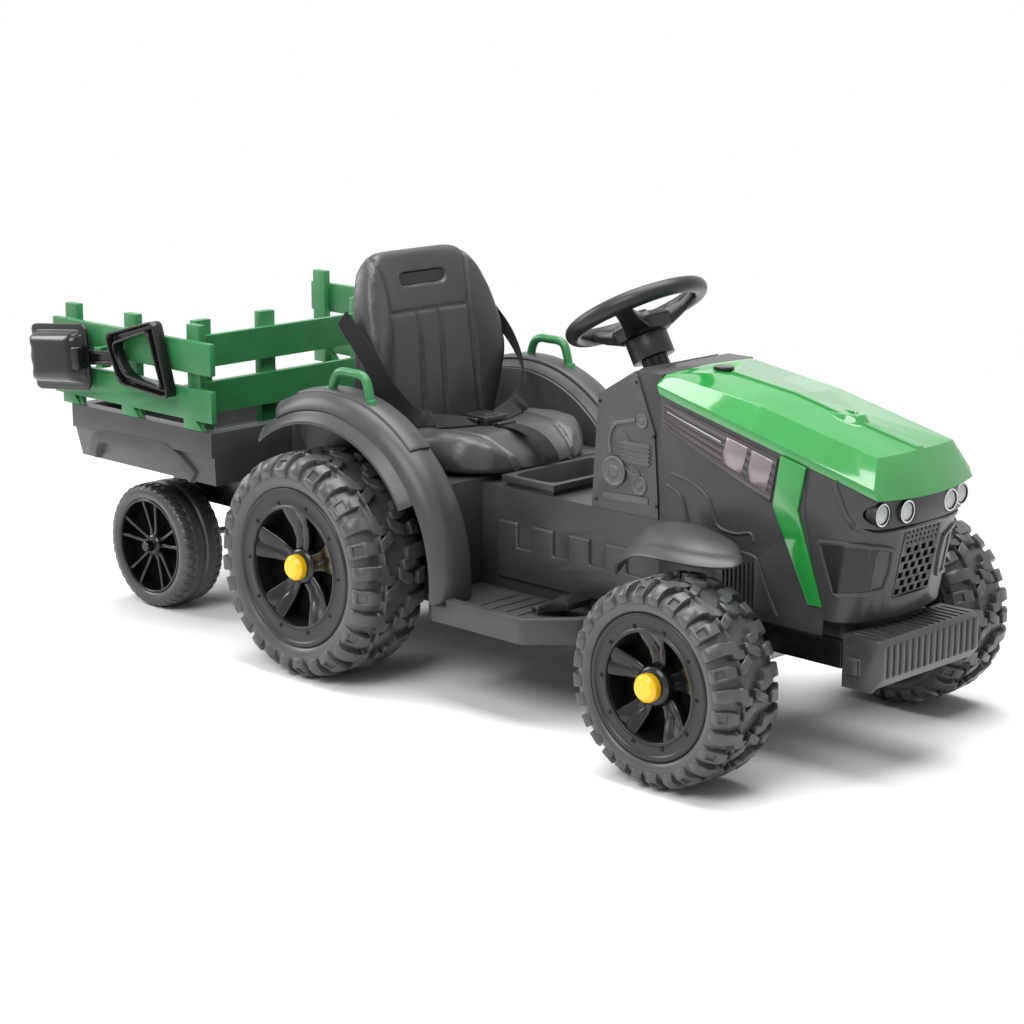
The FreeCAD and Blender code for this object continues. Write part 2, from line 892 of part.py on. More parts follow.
def grab_handle():
    """Sloping loop that stands on the crown of the left fender."""
    foot = handle_top_z - handle_foot_drop
    drop = foot - handle_slope

    def loop(inset, low):
        slope = handle_slope + inset
        return rounded([
            at(handle_back_x + inset, handle_y - handle_bar / 2, low),
            at(handle_back_x + slope, handle_y - handle_bar / 2, handle_top_z - inset),
            at(handle_front_x - slope, handle_y - handle_bar / 2, handle_top_z - inset),
            at(handle_front_x - inset, handle_y - handle_bar / 2, low),
        ], handle_corner - inset / 2).extrude(at(0, handle_bar, 0))

    bow = loop(0, drop).cut(loop(handle_bar, drop - overrun))
    seat = fender_shell_block()
    return bow.cut(seat)


def fender_shell_block():
    """The space that the left fender fills, with a seam round it."""
    solid = turned(fender_skin(seam) + [(0, fender_lip_y), (0, body_half)])
    return moved(solid, 0, 0, rear_axle_z)


def console_pad():
    """Raised crenellated panel on the left wall of the console."""
    pitch = (pad_front_x - pad_back_x) / pad_step_count
    outline = [(pad_back_x, pad_low_z)]
    for i in range(pad_step_count):
        x = pad_back_x + pitch * i
        edge = x + pitch * (1 - pad_gap_share)
        outline += [(x, pad_high_z), (edge, pad_high_z), (edge, pad_step_z), (x + pitch, pad_step_z)]
    outline.append((pad_front_x, pad_low_z))
    return along_y(outline, console_half - seam, console_half + pad_height)


def console():
    wall = console_wall
    shell = block(base_front_x, cowl_front_x, -console_half, console_half, floor_top_z, console_top_z)
    shell = shell.cut([
        block(base_front_x + wall, cowl_front_x - wall, wall - console_half, console_half - wall,
              floor_top_z - overrun, console_top_z - wall),
        block(cowl_back_x + wall, cowl_front_x - wall, wall - cowl_half, cowl_half - wall,
              console_top_z - 2 * wall, console_top_z + overrun),
    ])
    tray = block(bin_back_x, bin_front_x, -bin_half, bin_half, bin_floor_z - bin_wall, bin_rim_z)
    rim = block(bin_back_x - bin_rim_reach, bin_front_x + bin_rim_reach, -bin_half - bin_rim_reach,
                bin_half + bin_rim_reach, bin_rim_z - bin_rim_drop, bin_rim_z)
    hollow = rounded([
        at(bin_back_x + bin_wall, bin_wall - bin_half, bin_floor_z),
        at(bin_front_x - bin_wall, bin_wall - bin_half, bin_floor_z),
        at(bin_front_x - bin_wall, bin_half - bin_wall, bin_floor_z),
        at(bin_back_x + bin_wall, bin_half - bin_wall, bin_floor_z),
    ], wing_corner).extrude(at(0, 0, bin_rim_z + overrun - bin_floor_z))
    pad = console_pad()
    return joined([shell, tray, rim, pad, other_side(pad)]).cut([hollow, shaft_slot()])


# Cowl and dashboard


def cowl_outline(wall):
    """Side outline of the cowl, drawn in by a wall, open at its foot and front when drawn in."""
    foot = console_top_z - (overrun if wall else 0)
    front = cowl_front_x + (overrun if wall else 0)
    return [
        (cowl_back_x + wall, foot), (dash_low_x + wall, dash_low_z - wall / 2), (dash_top_x, dash_top_z - wall),
        (cowl_roof_x - wall / 2, dash_top_z - wall), (cowl_front_x - wall, cowl_brow_z),
        (front, cowl_brow_z), (front, foot),
    ]


def tilted(shape):
    """Places a shape drawn round the steering axis: origin at the ring, Z up the column."""
    copy = shape.copy()
    copy.rotate(at(0, 0, 0), at(0, 1, 0), -steer_tilt)
    copy.translate(at(ring_x, 0, ring_z))
    return copy


def column_hole():
    length = -shaft_bottom
    return tilted(rod_z(column_radius + column_hole_gap, column_bottom - length, -ring_tube, 0, 0))


def shaft_slot():
    """Way for the steering rod through the top of the console's front wall."""
    return tilted(rod_z(shaft_radius + column_hole_gap, shaft_bottom, column_bottom, 0, 0))


def cowl():
    outer = along_y(cowl_outline(0), -cowl_half, cowl_half)
    inner = along_y(cowl_outline(cowl_wall), cowl_wall - cowl_half, cowl_half - cowl_wall)
    controls = [control_hole(start_button_y, start_button_radius + slip)]
    return outer.cut([inner, column_hole(), rocker_pocket()] + controls)


def dash_point(share):
    return (dash_low_x + (dash_top_x - dash_low_x) * share, dash_low_z + (dash_top_z - dash_low_z) * share)


def dash_frame(shape):
    """Places a shape drawn on the dash face: origin mid-slope, X up the slope, Z off the face."""
    slope = math.degrees(math.atan2(dash_top_z - dash_low_z, dash_top_x - dash_low_x))
    x, z = dash_point(control_share)
    copy = shape.copy()
    copy.rotate(at(0, 0, 0), at(0, 1, 0), -slope)
    copy.translate(at(x, 0, z))
    return copy


def control_hole(y, radius):
    return dash_frame(rod_z(radius, -control_depth - overrun, dash_panel_thick + overrun, 0, y))


def rocker_pocket():
    reach = slip + rocker_pin_end
    room = joined([
        block(-rocker_half_x - rocker_gap, rocker_half_x + rocker_gap, rocker_y - rocker_half_y - slip,
              rocker_y + rocker_half_y + slip, -control_depth - overrun, dash_panel_thick + overrun),
        rod_y(rocker_pin_radius + bore_gap, rocker_y - rocker_half_y - reach, rocker_y + rocker_half_y + reach,
              0, 0),
    ])
    return dash_frame(room)


def dash_panel():
    length = math.hypot(dash_top_x - dash_low_x, dash_top_z - dash_low_z)
    low, high = dash_panel_shares
    plate = dash_frame(block(length * (low - control_share), length * (high - control_share),
                             -dash_panel_half, dash_panel_half, 0, dash_panel_thick))
    bush = tilted(rod_z(column_radius + bore_gap, column_bottom, -ring_tube, 0, 0))
    return plate.cut([bush, rocker_pocket(), control_hole(start_button_y, start_button_radius + slip)])


def start_button():
    head = rod_z(start_button_radius, -control_depth, dash_panel_thick + control_proud, 0, start_button_y)
    flange = rod_z(start_button_radius + start_button_flange, -control_depth, -cowl_wall - slip, 0, start_button_y)
    return dash_frame(joined([head, flange]))


def direction_rocker():
    top = dash_panel_thick + rocker_height
    outline = [(-rocker_half_x, -control_depth / 2), (-rocker_half_x, top), (0, dash_panel_thick),
               (rocker_half_x, dash_panel_thick), (rocker_half_x, -control_depth / 2)]
    body = along_y(outline, rocker_y - rocker_half_y, rocker_y + rocker_half_y)
    pin = rod_y(rocker_pin_radius, rocker_y - rocker_half_y - rocker_pin_end,
                rocker_y + rocker_half_y + rocker_pin_end, 0, 0)
    return dash_frame(joined([body, pin]))


def engine_plate():
    """Cast-look plate on the left flank of the cowl, with three raised pulleys."""
    outline = [
        (cowl_back_x, console_top_z), (dash_low_x, dash_low_z), (dash_top_x, dash_top_z),
        (plate_waist_x, plate_waist_z), (plate_front_x, console_top_z),
    ]
    plate = along_y(outline, cowl_half, cowl_half + plate_thick)
    width = plate_front_x - cowl_back_x
    height = dash_low_z - console_top_z
    top = cowl_half + plate_thick
    discs = []
    for x_share, z_share, size in plate_relief_shares:
        discs.append(rod_y(plate_pulley_radius * size, top - seam, top + plate_relief,
                           cowl_back_x + width * x_share, console_top_z + height * z_share))
    return joined([plate] + discs)


# Steering


def steering_wheel():
    grip = []
    for i in range(grip_sides):
        angle = 2 * math.pi / grip_sides * i
        grip.append(at(ring_radius + ring_tube * math.cos(angle), 0, ring_tube * math.sin(angle)))
    ring = closed(grip).revolve(at(0, 0, 0), at(0, 0, 1), full_turn)
    hub = rod_z(hub_radius, hub_bottom, hub_top, 0, 0)
    spokes = []
    for angle in spoke_angles:
        spoke = along_y([
            (0, hub_bottom), (hub_radius, hub_bottom), (ring_radius, -spoke_thick / 2),
            (ring_radius, spoke_thick / 2), (hub_radius, hub_bottom + 2 * spoke_thick), (0, hub_top),
        ], -spoke_width / 2, spoke_width / 2)
        spoke.rotate(at(0, 0, 0), at(0, 0, 1), angle)
        spokes.append(spoke)
    wheel = joined([ring, hub] + spokes)
    return tilted(wheel.cut(rod_z(horn_radius + slip, hub_top - horn_sink - horn_travel - slip, hub_top + overrun,
                             0, 0)))


def horn_button():
    return tilted(rod_z(horn_radius, hub_top - horn_sink, hub_top + horn_height, 0, 0))


def steering_shaft():
    """Collar, fluted column, rod, pitman arm and its pin, in one weldment."""
    collar = rod_z(collar_radius, collar_bottom, hub_bottom, 0, 0)
    column = rod_z(column_radius, column_bottom, collar_bottom, 0, 0)
    flutes = []
    for i in range(flute_count):
        flute = rod_z(flute_radius, column_bottom - overrun, collar_bottom, column_radius, 0)
        flute.rotate(at(0, 0, 0), at(0, 0, 1), full_turn / flute_count * i)
        flutes.append(flute)
    rod = rod_z(shaft_radius, shaft_bottom, column_bottom, 0, 0)
    arm = block(-arm_length, 0, -arm_half, arm_half, shaft_bottom, shaft_bottom + arm_thick)
    ends = [rod_z(arm_half, shaft_bottom, shaft_bottom + arm_thick, x, 0) for x in (0, -arm_length)]
    pin = rod_z(arm_pin_radius, shaft_bottom - arm_pin_length, shaft_bottom, -arm_length, 0)
    return tilted(joined([collar, column.cut(flutes), rod, arm, pin] + ends))


def arm_pin_x(z):
    """Place along X where the pitman pin crosses a height, at rest."""
    tip_x = ring_x - arm_length * steer_cos - shaft_bottom * steer_sin
    tip_z = ring_z - arm_length * steer_sin + shaft_bottom * steer_cos
    return tip_x + (tip_z - z) * steer_sin / steer_cos


def tie_rod():
    high = tie_low_z + tie_thick
    bar = block(tie_x - tie_half_bar, tie_x + tie_half_bar, -kingpin_y, kingpin_y, tie_low_z, high)
    eyes = [rod_z(tie_eye_half, tie_low_z, high, tie_x, side * kingpin_y) for side in (-1, 1)]
    mid = arm_pin_x(tie_low_z + tie_thick / 2)
    wall = mid - tongue_slot_back - tie_tongue_back_x
    tongue = block(min(tie_tongue_back_x, tie_x), max(tie_x, mid + tongue_slot_ahead + wall),
                   -tie_tongue_half, tie_tongue_half, tie_low_z, high)
    side_half = pin_radius + tie_slot_side
    ahead = pin_radius + tie_slot_ahead
    slots = []
    for side in (-1, 1):
        slots.append(block(tie_x - pin_radius - tie_slot_side, tie_x + ahead, side * kingpin_y - side_half,
                           side * kingpin_y + side_half, tie_low_z - overrun, high + overrun))
    slots.append(block(mid - tongue_slot_back, mid + tongue_slot_ahead, -side_half, side_half,
                       tie_low_z - overrun, high + overrun))
    return joined([bar, tongue] + eyes).cut(slots)


def knuckle():
    """Left steering knuckle: kingpin, boss, stub axle and steering arm."""
    low = front_axle_z - yoke_gap_half + slip
    high = front_axle_z + yoke_gap_half - slip
    boss = rod_z(knuckle_radius, low, high, wheelbase, kingpin_y)
    pin = rod_z(kingpin_radius, low - yoke_plate - slip, high + yoke_plate + slip, wheelbase, kingpin_y)
    wheel_back = front_mid_y - front_tyre_width / 2 + rim_edge_inset
    stub = rod_y(axle_radius, kingpin_y, front_hub_face_y - cap_height - axle_end_gap, wheelbase, front_axle_z)
    collar = rod_y(stub_collar_radius, kingpin_y, wheel_back - slip, wheelbase, front_axle_z)
    arm_low = tie_low_z + tie_thick + slip
    arm = block(tie_x, wheelbase, kingpin_y - knuckle_arm_half, kingpin_y + knuckle_arm_half,
                arm_low, arm_low + knuckle_arm_thick)
    end = rod_z(knuckle_arm_half, arm_low, arm_low + knuckle_arm_thick, tie_x, kingpin_y)
    tie_pin = rod_z(pin_radius, tie_low_z - slip, arm_low, tie_x, kingpin_y)
    return joined([boss, pin, stub, collar, arm, end, tie_pin])


def yoke_plate_at(side, z):
    """One plate of a yoke, with a round eye for the kingpin."""
    low, high = sorted((side * yoke_web_y, side * kingpin_y))
    arm = block(wheelbase - yoke_eye_radius, wheelbase + yoke_eye_radius, low, high, z, z + yoke_plate)
    eye = rod_z(yoke_eye_radius, z, z + yoke_plate, wheelbase, side * kingpin_y)
    hole = rod_z(kingpin_radius + bore_gap, z - overrun, z + yoke_plate + overrun, wheelbase, side * kingpin_y)
    return joined([arm, eye]).cut(hole)


def front_axle_beam():
    pieces = [block(wheelbase - beam_half_x, wheelbase + beam_half_x, -yoke_web_y, yoke_web_y,
                    beam_low_z, rail_low_z)]
    gap_low = front_axle_z - yoke_gap_half
    gap_high = front_axle_z + yoke_gap_half
    for side in (-1, 1):
        pieces += [yoke_plate_at(side, z) for z in (gap_low - yoke_plate, gap_high)]
        low, high = sorted((side * yoke_web_y, side * (yoke_web_y - yoke_plate)))
        pieces.append(block(wheelbase - yoke_half_x, wheelbase + yoke_half_x, low, high,
                            gap_low - yoke_plate, gap_high + yoke_plate))
    return joined(pieces)


# Front frame, bumper and engine bay


def front_frame():
    inner = rail_outer_y - rail_width
    left = block(rail_back_x, rail_front_x, inner, rail_outer_y, rail_low_z, rail_top_z)
    pieces = [left, other_side(left)]
    tall = rail_low_z + (rail_top_z - rail_low_z) * cross_share
    for x in (rail_back_x + cross_depth, wheelbase - cross_depth, wheelbase, rail_front_x - cross_depth):
        pieces.append(block(x, x + cross_depth, -inner, inner, rail_low_z, tall))
    bearing_z = rail_top_z - cross_depth
    bearing_x = ring_x + (ring_z - bearing_z) * steer_sin / steer_cos
    pieces.append(block(bearing_x - bearing_half, bearing_x + bearing_half, -inner, inner, bearing_z, rail_top_z))
    bearing = tilted(rod_z(shaft_radius + bore_gap, shaft_bottom, column_bottom, 0, 0))
    return joined(pieces).cut(bearing)


def front_bumper():
    outline = [
        (rail_front_x, bumper_low_z), (rail_front_x, bumper_top_z), (bumper_front_x - bumper_edge, bumper_top_z),
        (bumper_front_x, bumper_top_z - bumper_edge), (bumper_front_x, bumper_face_low_z),
        (bumper_front_x - 2 * bumper_edge, bumper_low_z),
    ]
    bar = along_y(outline, -bumper_half, bumper_half)
    hollow = block(rail_front_x + bumper_wall, bumper_front_x - 2 * bumper_wall, bumper_wall - bumper_half,
                   bumper_half - bumper_wall, bumper_low_z - overrun, bumper_top_z - bumper_wall)
    pitch = 2 * bumper_half / (bumper_groove_count + 1)
    cuts = [hollow]
    for i in range(bumper_groove_count):
        y = pitch * (i + 1) - bumper_half
        low = y - bumper_groove_width / 2
        high = y + bumper_groove_width / 2
        cuts.append(block(bumper_front_x - bumper_groove_depth, bumper_front_x + overrun, low, high,
                          bumper_face_low_z, bumper_top_z - bumper_edge))
        cuts.append(block(rail_front_x + bumper_edge, bumper_front_x - bumper_edge, low, high,
                          bumper_top_z - bumper_groove_depth, bumper_top_z + overrun))
    boss_x = rail_front_x + bumper_edge
    boss = block(boss_x, boss_x + bumper_boss, bumper_half - seam, bumper_half + bumper_boss_proud,
                 bumper_face_low_z, bumper_face_low_z + bumper_boss)
    return joined([bar.cut(cuts), boss, other_side(boss)])


def hood_low(x):
    return hood_back_low + hood_low_slope * (x - hood_back_x)


def hood_section(x, top, shoulder, side, wall):
    """Cross section of the hood: crowned top, sloping cheeks and a narrow band along each side."""
    low = hood_low(x) - (overrun if wall else 0)
    cheek = hood_low(x) + hood_band
    half = [(0, top + hood_crown - wall), (shoulder - wall, top - wall), (side - wall, cheek - wall / 2),
            (side - wall, low)]
    return [at(x, y, z) for y, z in half] + [at(x, -y, z) for y, z in reversed(half[1:])]


def hood_loft(wall):
    mid = (hood_mid_x - hood_back_x) / (hood_front_x - hood_back_x)
    shoulder = hood_shoulder_back + (hood_shoulder_front - hood_shoulder_back) * mid
    side = hood_side_back + (hood_side_front - hood_side_back) * mid
    start = hood_back_x - (overrun if wall else 0)
    return ruled([
        hood_section(start, hood_back_top, hood_shoulder_back, hood_side_back, wall),
        hood_section(hood_mid_x, hood_mid_top, shoulder, side, wall),
        hood_section(hood_front_x, hood_front_top, hood_shoulder_front, hood_side_front, wall),
    ])


def hood_front_trim(wall):
    """Slanting space behind the bowed front edge of the hood."""
    reach = 2 * hood_nose_drop
    z = hood_brow_z + reach
    lead = hood_nose_ahead / hood_nose_drop * reach
    back = hood_back_x - reach - overrun - lead
    side = hood_side_back + overrun
    edges = [
        Part.LineSegment(at(back, -side, z), at(hood_brow_side_x - lead - wall, -side, z)).toShape(),
        Part.Arc(at(hood_brow_side_x - lead - wall, -side, z), at(hood_brow_x - lead - wall, 0, z),
                 at(hood_brow_side_x - lead - wall, side, z)).toShape(),
        Part.LineSegment(at(hood_brow_side_x - lead - wall, side, z), at(back, side, z)).toShape(),
        Part.LineSegment(at(back, side, z), at(back, -side, z)).toShape(),
    ]
    return Part.Face(Part.Wire(edges)).extrude(at(2 * lead, 0, -2 * reach))


def hood_top(x):
    if x < hood_mid_x:
        return line_z(x, hood_back_x, hood_back_top, hood_mid_x, hood_mid_top) + hood_crown
    return line_z(x, hood_mid_x, hood_mid_top, hood_front_x, hood_front_top) + hood_crown


def hood_scoop():
    base = hood_top(scoop_x) - scoop_proud
    top = hood_top(scoop_x) + scoop_proud / 2
    oval = Part.Ellipse(at(scoop_x, 0, base), scoop_long, scoop_short).toShape()
    crown = Part.Ellipse(at(scoop_x, 0, top), scoop_long * scoop_crown_share, scoop_short * scoop_crown_share)
    bump = Part.makeLoft([Part.Wire([oval]), Part.Wire([crown.toShape()])], True, True)
    hole = Part.Ellipse(at(scoop_x, 0, top - scoop_proud / 2), scoop_long * scoop_hole_share,
                        scoop_short * scoop_hole_share)
    return bump.cut(Part.Face(Part.Wire([hole.toShape()])).extrude(at(0, 0, scoop_proud)))


def hood_rib():
    """Raised rib along the middle of the hood, from the filler ring to the front edge."""
    start = cap_ring_x + cap_ring_radius + rib_half
    stations = (start, hood_mid_x, hood_front_x)
    upper = [(x, hood_top(x) + rib_proud) for x in stations]
    lower = [(x, hood_top(x) - hood_wall / 2) for x in reversed(stations)]
    return along_y(upper + lower, -rib_half, rib_half)


def hood():
    trim = hood_front_trim(0)
    skin = hood_loft(0).common(trim)
    skin = skin.cut(hood_loft(hood_wall).common(hood_front_trim(hood_wall)))
    skirt = along_y([
        (hood_back_x - overrun, hood_back_low - 2 * overrun),
        (hood_back_x - overrun, dash_top_z + slip),
        (cowl_roof_x + slip, dash_top_z + slip), (hood_skirt_x, cowl_brow_z + slip),
        (hood_skirt_x, hood_back_low - 2 * overrun),
    ], -hood_side_back - overrun, hood_side_back + overrun)
    ring_hole = rod_z(cap_ring_radius - 2 * slip, hood_front_low, hood_back_top + overrun, cap_ring_x, 0)
    rib = hood_rib().common(trim)
    return joined([skin.cut(skirt), rib, hood_scoop()]).cut(ring_hole)


def hood_cap():
    top = hood_top(cap_ring_x)
    ring = rod_z(cap_ring_radius + cap_ring_proud / 2, top - cap_ring_sink, top + cap_ring_proud, cap_ring_x, 0)
    stem = rod_z(cap_ring_radius - 3 * slip, top - hood_wall - cap_ring_sink, top + cap_ring_proud, cap_ring_x, 0)
    return joined([ring.cut(moved(hood_loft(0), 0, 0, seam)), stem])


def nose_plan(back, corner, face, face_y, centre, half, z):
    """Plan of the nose at one height: straight sides, cut corners and a bowed face."""
    bow = Part.Arc(at(face, -face_y, z), at(centre, 0, z), at(face, face_y, z)).toShape()
    points = [(face, face_y), (corner, half), (back, half), (back, -half), (corner, -half), (face, -face_y)]
    edges = [bow]
    for (x0, y0), (x1, y1) in zip(points, points[1:]):
        edges.append(Part.LineSegment(at(x0, y0, z), at(x1, y1, z)).toShape())
    return Part.Wire(edges)


def nose_band(wall, z0, z1):
    plan = nose_plan(band_back_x - (overrun if wall else 0), band_corner_x - wall, band_face_x - wall,
                     band_face_y - wall, band_centre_x - wall, bay_half - wall, z0)
    return Part.Face(plan).extrude(at(0, 0, z1 - z0))


def nose_skirt(wall, z0, z1):
    """Lower nose: a plan a step inside the band's, which leans back towards the bumper."""
    drop = z1 - z0
    lean = skirt_lean * drop / (band_low_z - nose_low_z)
    inset = wall + band_step
    plan = nose_plan(band_back_x - (overrun if wall else 0), band_corner_x - inset, band_face_x - inset,
                     skirt_face_y - wall, band_centre_x - inset, bay_half - wall, z1)
    skirt = Part.Face(plan).extrude(at(-lean, 0, -drop))
    low_back = skirt_back_x - (overrun if wall else 0)
    return skirt.cut(along_y([
        (band_back_x - (overrun if wall else 0), z1), (low_back, z0), (low_back, z0 - overrun),
        (band_back_x - skirt_lean - 2 * overrun, z0 - overrun), (band_back_x - skirt_lean - 2 * overrun, z1),
    ], -bay_half - overrun, bay_half + overrun))


def above_hood_edge(gap):
    """Everything above the lower edge of the hood, with a gap below it."""
    x0 = hood_back_x - overrun
    x1 = hood_front_x + overrun
    top = hood_back_top + overrun
    side = hood_side_back + overrun
    return along_y([(x0, hood_low(x0) - gap), (x0, top), (x1, top), (x1, hood_low(x1) - gap)], -side, side)


def light_x(y):
    """Face of the nose band at a light, on the chord of its bow."""
    return band_centre_x - (band_centre_x - band_face_x) * (y / band_face_y) ** 2


def light_row(radius, x_in, x_out):
    rods = []
    for place in light_places_y:
        for y in (place, -place):
            x = light_x(y)
            rods.append(Part.makeCylinder(radius, x_in + x_out, at(x - x_in, y, light_z), at(1, 0, 0)))
    return rods


def grille_hole(gap):
    return block(band_face_x - nose_top_z, band_centre_x + overrun, gap - grille_half, grille_half - gap,
                 grille_low_z + gap, grille_top_z - gap)


def nose_panel():
    outer = joined([nose_band(0, band_low_z, nose_top_z), nose_skirt(0, nose_low_z, band_low_z)])
    cuts = [nose_band(nose_wall, band_low_z, nose_top_z + overrun), nose_skirt(nose_wall, nose_low_z, band_low_z)]
    cuts += [above_hood_edge(slip), grille_hole(0)]
    cuts += light_row(light_radius + light_ring, light_depth + nose_wall, light_depth)
    return outer.cut(cuts)


def grille_plate_line(inset):
    """Front line of the grille, at mid width: X at the top and at the foot."""
    places = []
    for z in (grille_top_z, grille_low_z):
        share = (band_low_z - z) / (band_low_z - nose_low_z)
        places.append((band_centre_x - skirt_lean * share - band_step - inset, z))
    return places


def grille_insert():
    """Leaning plate with rows of perforations over a brick pattern of slots."""
    front = grille_plate_line(nose_wall - grille_thick / 2)
    back = grille_plate_line(nose_wall - grille_thick / 2 + grille_thick)
    plate = along_y(front + list(reversed(back)), grille_gap - grille_half, grille_half - grille_gap)
    plate = plate.common(grille_hole(grille_gap))
    height = grille_top_z - grille_low_z
    split = grille_top_z - height * grille_hole_part_share
    x0 = band_centre_x - skirt_lean - height
    x1 = band_centre_x + overrun
    row = (split - grille_low_z) / grille_rows
    column = 2 * grille_half / grille_columns
    cuts = []
    for i in range(grille_rows):
        z = grille_low_z + row * i
        shift = column / 2 * (i % 2)
        for j in range(grille_columns - i % 2):
            y = column * j + shift - grille_half
            cuts.append(block(x0, x1, y + grille_bar, y + column - grille_bar, z + grille_bar, z + row))
    hole_row = (grille_top_z - split) / (grille_hole_rows + 1)
    hole_column = 2 * grille_half / (grille_hole_columns + 1)
    for i in range(grille_hole_rows):
        for j in range(grille_hole_columns):
            y = hole_column * (j + 1) - grille_half
            z = split + hole_row * (i + 1)
            cuts.append(block(x0, x1, y - grille_bar / 2, y + grille_bar / 2, z - grille_bar / 2,
                              z + grille_bar / 2))
    return plate.cut(cuts)


def headlight_bezels():
    outer = light_row(light_radius + light_ring - seam, light_depth, light_proud)
    inner = light_row(light_radius, light_depth - light_proud, light_proud + overrun)
    return Part.makeCompound([ring.cut(hole) for ring, hole in zip(outer, inner)])


def headlight_lenses():
    return Part.makeCompound(light_row(light_radius - seam, light_depth - light_proud - seam,
                                       light_proud - lens_inset))


def side_cover():
    """Left flank of the engine bay, under the hood edge and behind the nose."""
    edge = hood_low(band_back_x) - slip
    outline = [
        (rail_back_x + slip, rail_top_z), (rail_back_x + slip, hood_low(rail_back_x) - slip),
        (band_back_x - slip, edge), (band_back_x - slip, band_low_z), (skirt_back_x - slip, nose_low_z),
        (skirt_back_x - slip, rail_top_z),
    ]
    slots = []
    for i in range(fin_count):
        share = i / (fin_count - 1)
        x = fin_back_x + (fin_front_x - fin_back_x) * share
        top = fin_back_top_z + (fin_front_top_z - fin_back_top_z) * share
        slots.append(block(x, x + fin_width, bay_half - fin_depth, bay_half + overrun, fin_low_z, top))
    return along_y(outline, bay_half - bay_wall, bay_half).cut(slots)


def vent_panel():
    """Dark louvred window on the left flank, with grooves along it."""
    top_back = hood_low(vent_back_x) - vent_drop
    top_front = hood_low(vent_front_x) - vent_drop
    lean = strip_top_x - strip_kink_x
    outline = [
        (vent_back_x, top_back - vent_back_height), (vent_back_x, top_back), (vent_front_x, top_front),
        (vent_front_x - lean, top_front - vent_front_height),
    ]
    plate = along_y(outline, bay_half, bay_half + vent_thick)
    grooves = []
    for i in range(vent_groove_count):
        share = (i + 1) / (vent_groove_count + 1)
        z0 = top_back - vent_back_height * share
        z1 = top_front - vent_front_height * share
        half = vent_groove_width / 2
        grooves.append(along_y([(vent_back_x - overrun, z0 - half), (vent_back_x - overrun, z0 + half),
                                (vent_front_x, z1 + half), (vent_front_x, z1 - half)],
                               bay_half + vent_thick - vent_groove_depth, bay_half + vent_thick + overrun))
    return plate.cut(grooves)


def hood_strip(gap):
    """Kinked trim strip on the left flank, from the hood edge to the frame, grown by a gap."""
    top = hood_low(strip_top_x) - slip
    front_top = hood_low(strip_top_x + strip_width) - slip
    outline = [
        (strip_top_x - gap, top), (strip_top_x + strip_width + gap, front_top),
        (strip_kink_x + strip_width + gap, strip_kink_z),
        (strip_foot_x + strip_foot_width + gap, strip_foot_z - gap),
        (strip_foot_x - gap, strip_foot_z - gap), (strip_kink_x - gap, strip_kink_z),
    ]
    return along_y(outline, bay_half, bay_half + strip_thick + gap)


def front_fender():
    """Left front mudguard: an arched shell that stands out from the engine bay."""
    reach = mud_lip_y - bay_half
    rise = mud_crown_radius - mud_lip_radius
    skin = [(mud_lip_radius + rise * r, bay_half + reach * y) for y, r in mud_section_shares]
    inside = [(r - mud_wall, y) for r, y in skin[:-1]]
    profile = skin + [(mud_lip_radius, mud_lip_y - mud_wall)] + list(reversed(inside))
    face = closed([at(r, y, 0) for r, y in profile])
    shell = spun(face, mud_front_angle).revolve(at(0, 0, 0), at(0, -1, 0), mud_back_angle - mud_front_angle)
    shell = moved(shell, wheelbase, 0, front_axle_z)
    far_x = wheelbase + mud_crown_radius
    corner = along_z([(mud_taper_x, mud_lip_y + overrun), (far_x, mud_taper_y), (far_x, mud_lip_y + overrun)],
                     front_axle_z, front_axle_z + 2 * mud_crown_radius)
    return shell.cut([corner, hood_strip(slip)])


# Seat and harness


def seat_back_section(i):
    """Plan of the backrest at one height: bolsters, dished middle and two sewn channels."""
    z = seat_section_heights[i]
    half = seat_section_halves[i]
    front = seat_section_fronts[i]
    rear = front - seat_section_depths[i]
    proud = seat_section_prouds[i]
    depth = seat_channel_depth if z < seat_channel_top_z else 0.0
    edge, crest, foot, flat = [half * share for share in seat_bolster_shares]
    c0 = seat_channel_y - seat_channel_half
    c1 = seat_channel_y + seat_channel_half
    right = [
        (rear, half * seat_bolster_shares[2]), (rear + proud, edge), (front + proud / 2, edge),
        (front + proud, crest), (front + proud / 2, foot), (front, flat), (front, c1),
        (front - depth - seam, seat_channel_y), (front, c0),
    ]
    points = right + [(x, -y) for x, y in reversed(right)]
    return [at(x, y, z) for x, y in points]


def seat_back():
    return ruled([seat_back_section(i) for i in range(len(seat_section_heights))])


def cushion_section(i):
    x = cushion_stations[i]
    half = cushion_halves[i]
    top = cushion_tops[i]
    rise = cushion_bolster_rise * half / max(cushion_halves)
    belly = cushion_low_z + (top - cushion_low_z) * cushion_belly_share
    seam_y = half * cushion_seam_share
    right = [
        (half - cushion_tuck, cushion_low_z), (half, belly), (half * cushion_edge_share, top + rise),
        (half * cushion_dish_share, top), (seam_y + cushion_seam_half, top),
        (seam_y, top - cushion_seam_depth), (seam_y - cushion_seam_half, top),
    ]
    points = right + [(-y, z) for y, z in reversed(right)]
    return [at(x, y, z) for y, z in points]


def seat_cushion():
    return ruled([cushion_section(i) for i in range(len(cushion_stations))])


def ribbon(points, lifts, entry):
    """Webbing square to its path through a row of points: each has a direction off its face, and the last an entry."""
    sections = []
    for i, (point, lift) in enumerate(zip(points, lifts)):
        along = at(0, 0, 0)
        if i:
            along += (point - points[i - 1]).normalize()
        if i + 1 < len(points):
            along += (points[i + 1] - point).normalize()
        else:
            along = entry
        side = lift.cross(along).normalize()
        up = along.cross(side).normalize() * strap_thick
        side = side * (strap_width / 2)
        sections.append([point - side, point + side, point + side + up, point - side + up])
    return ruled(sections)


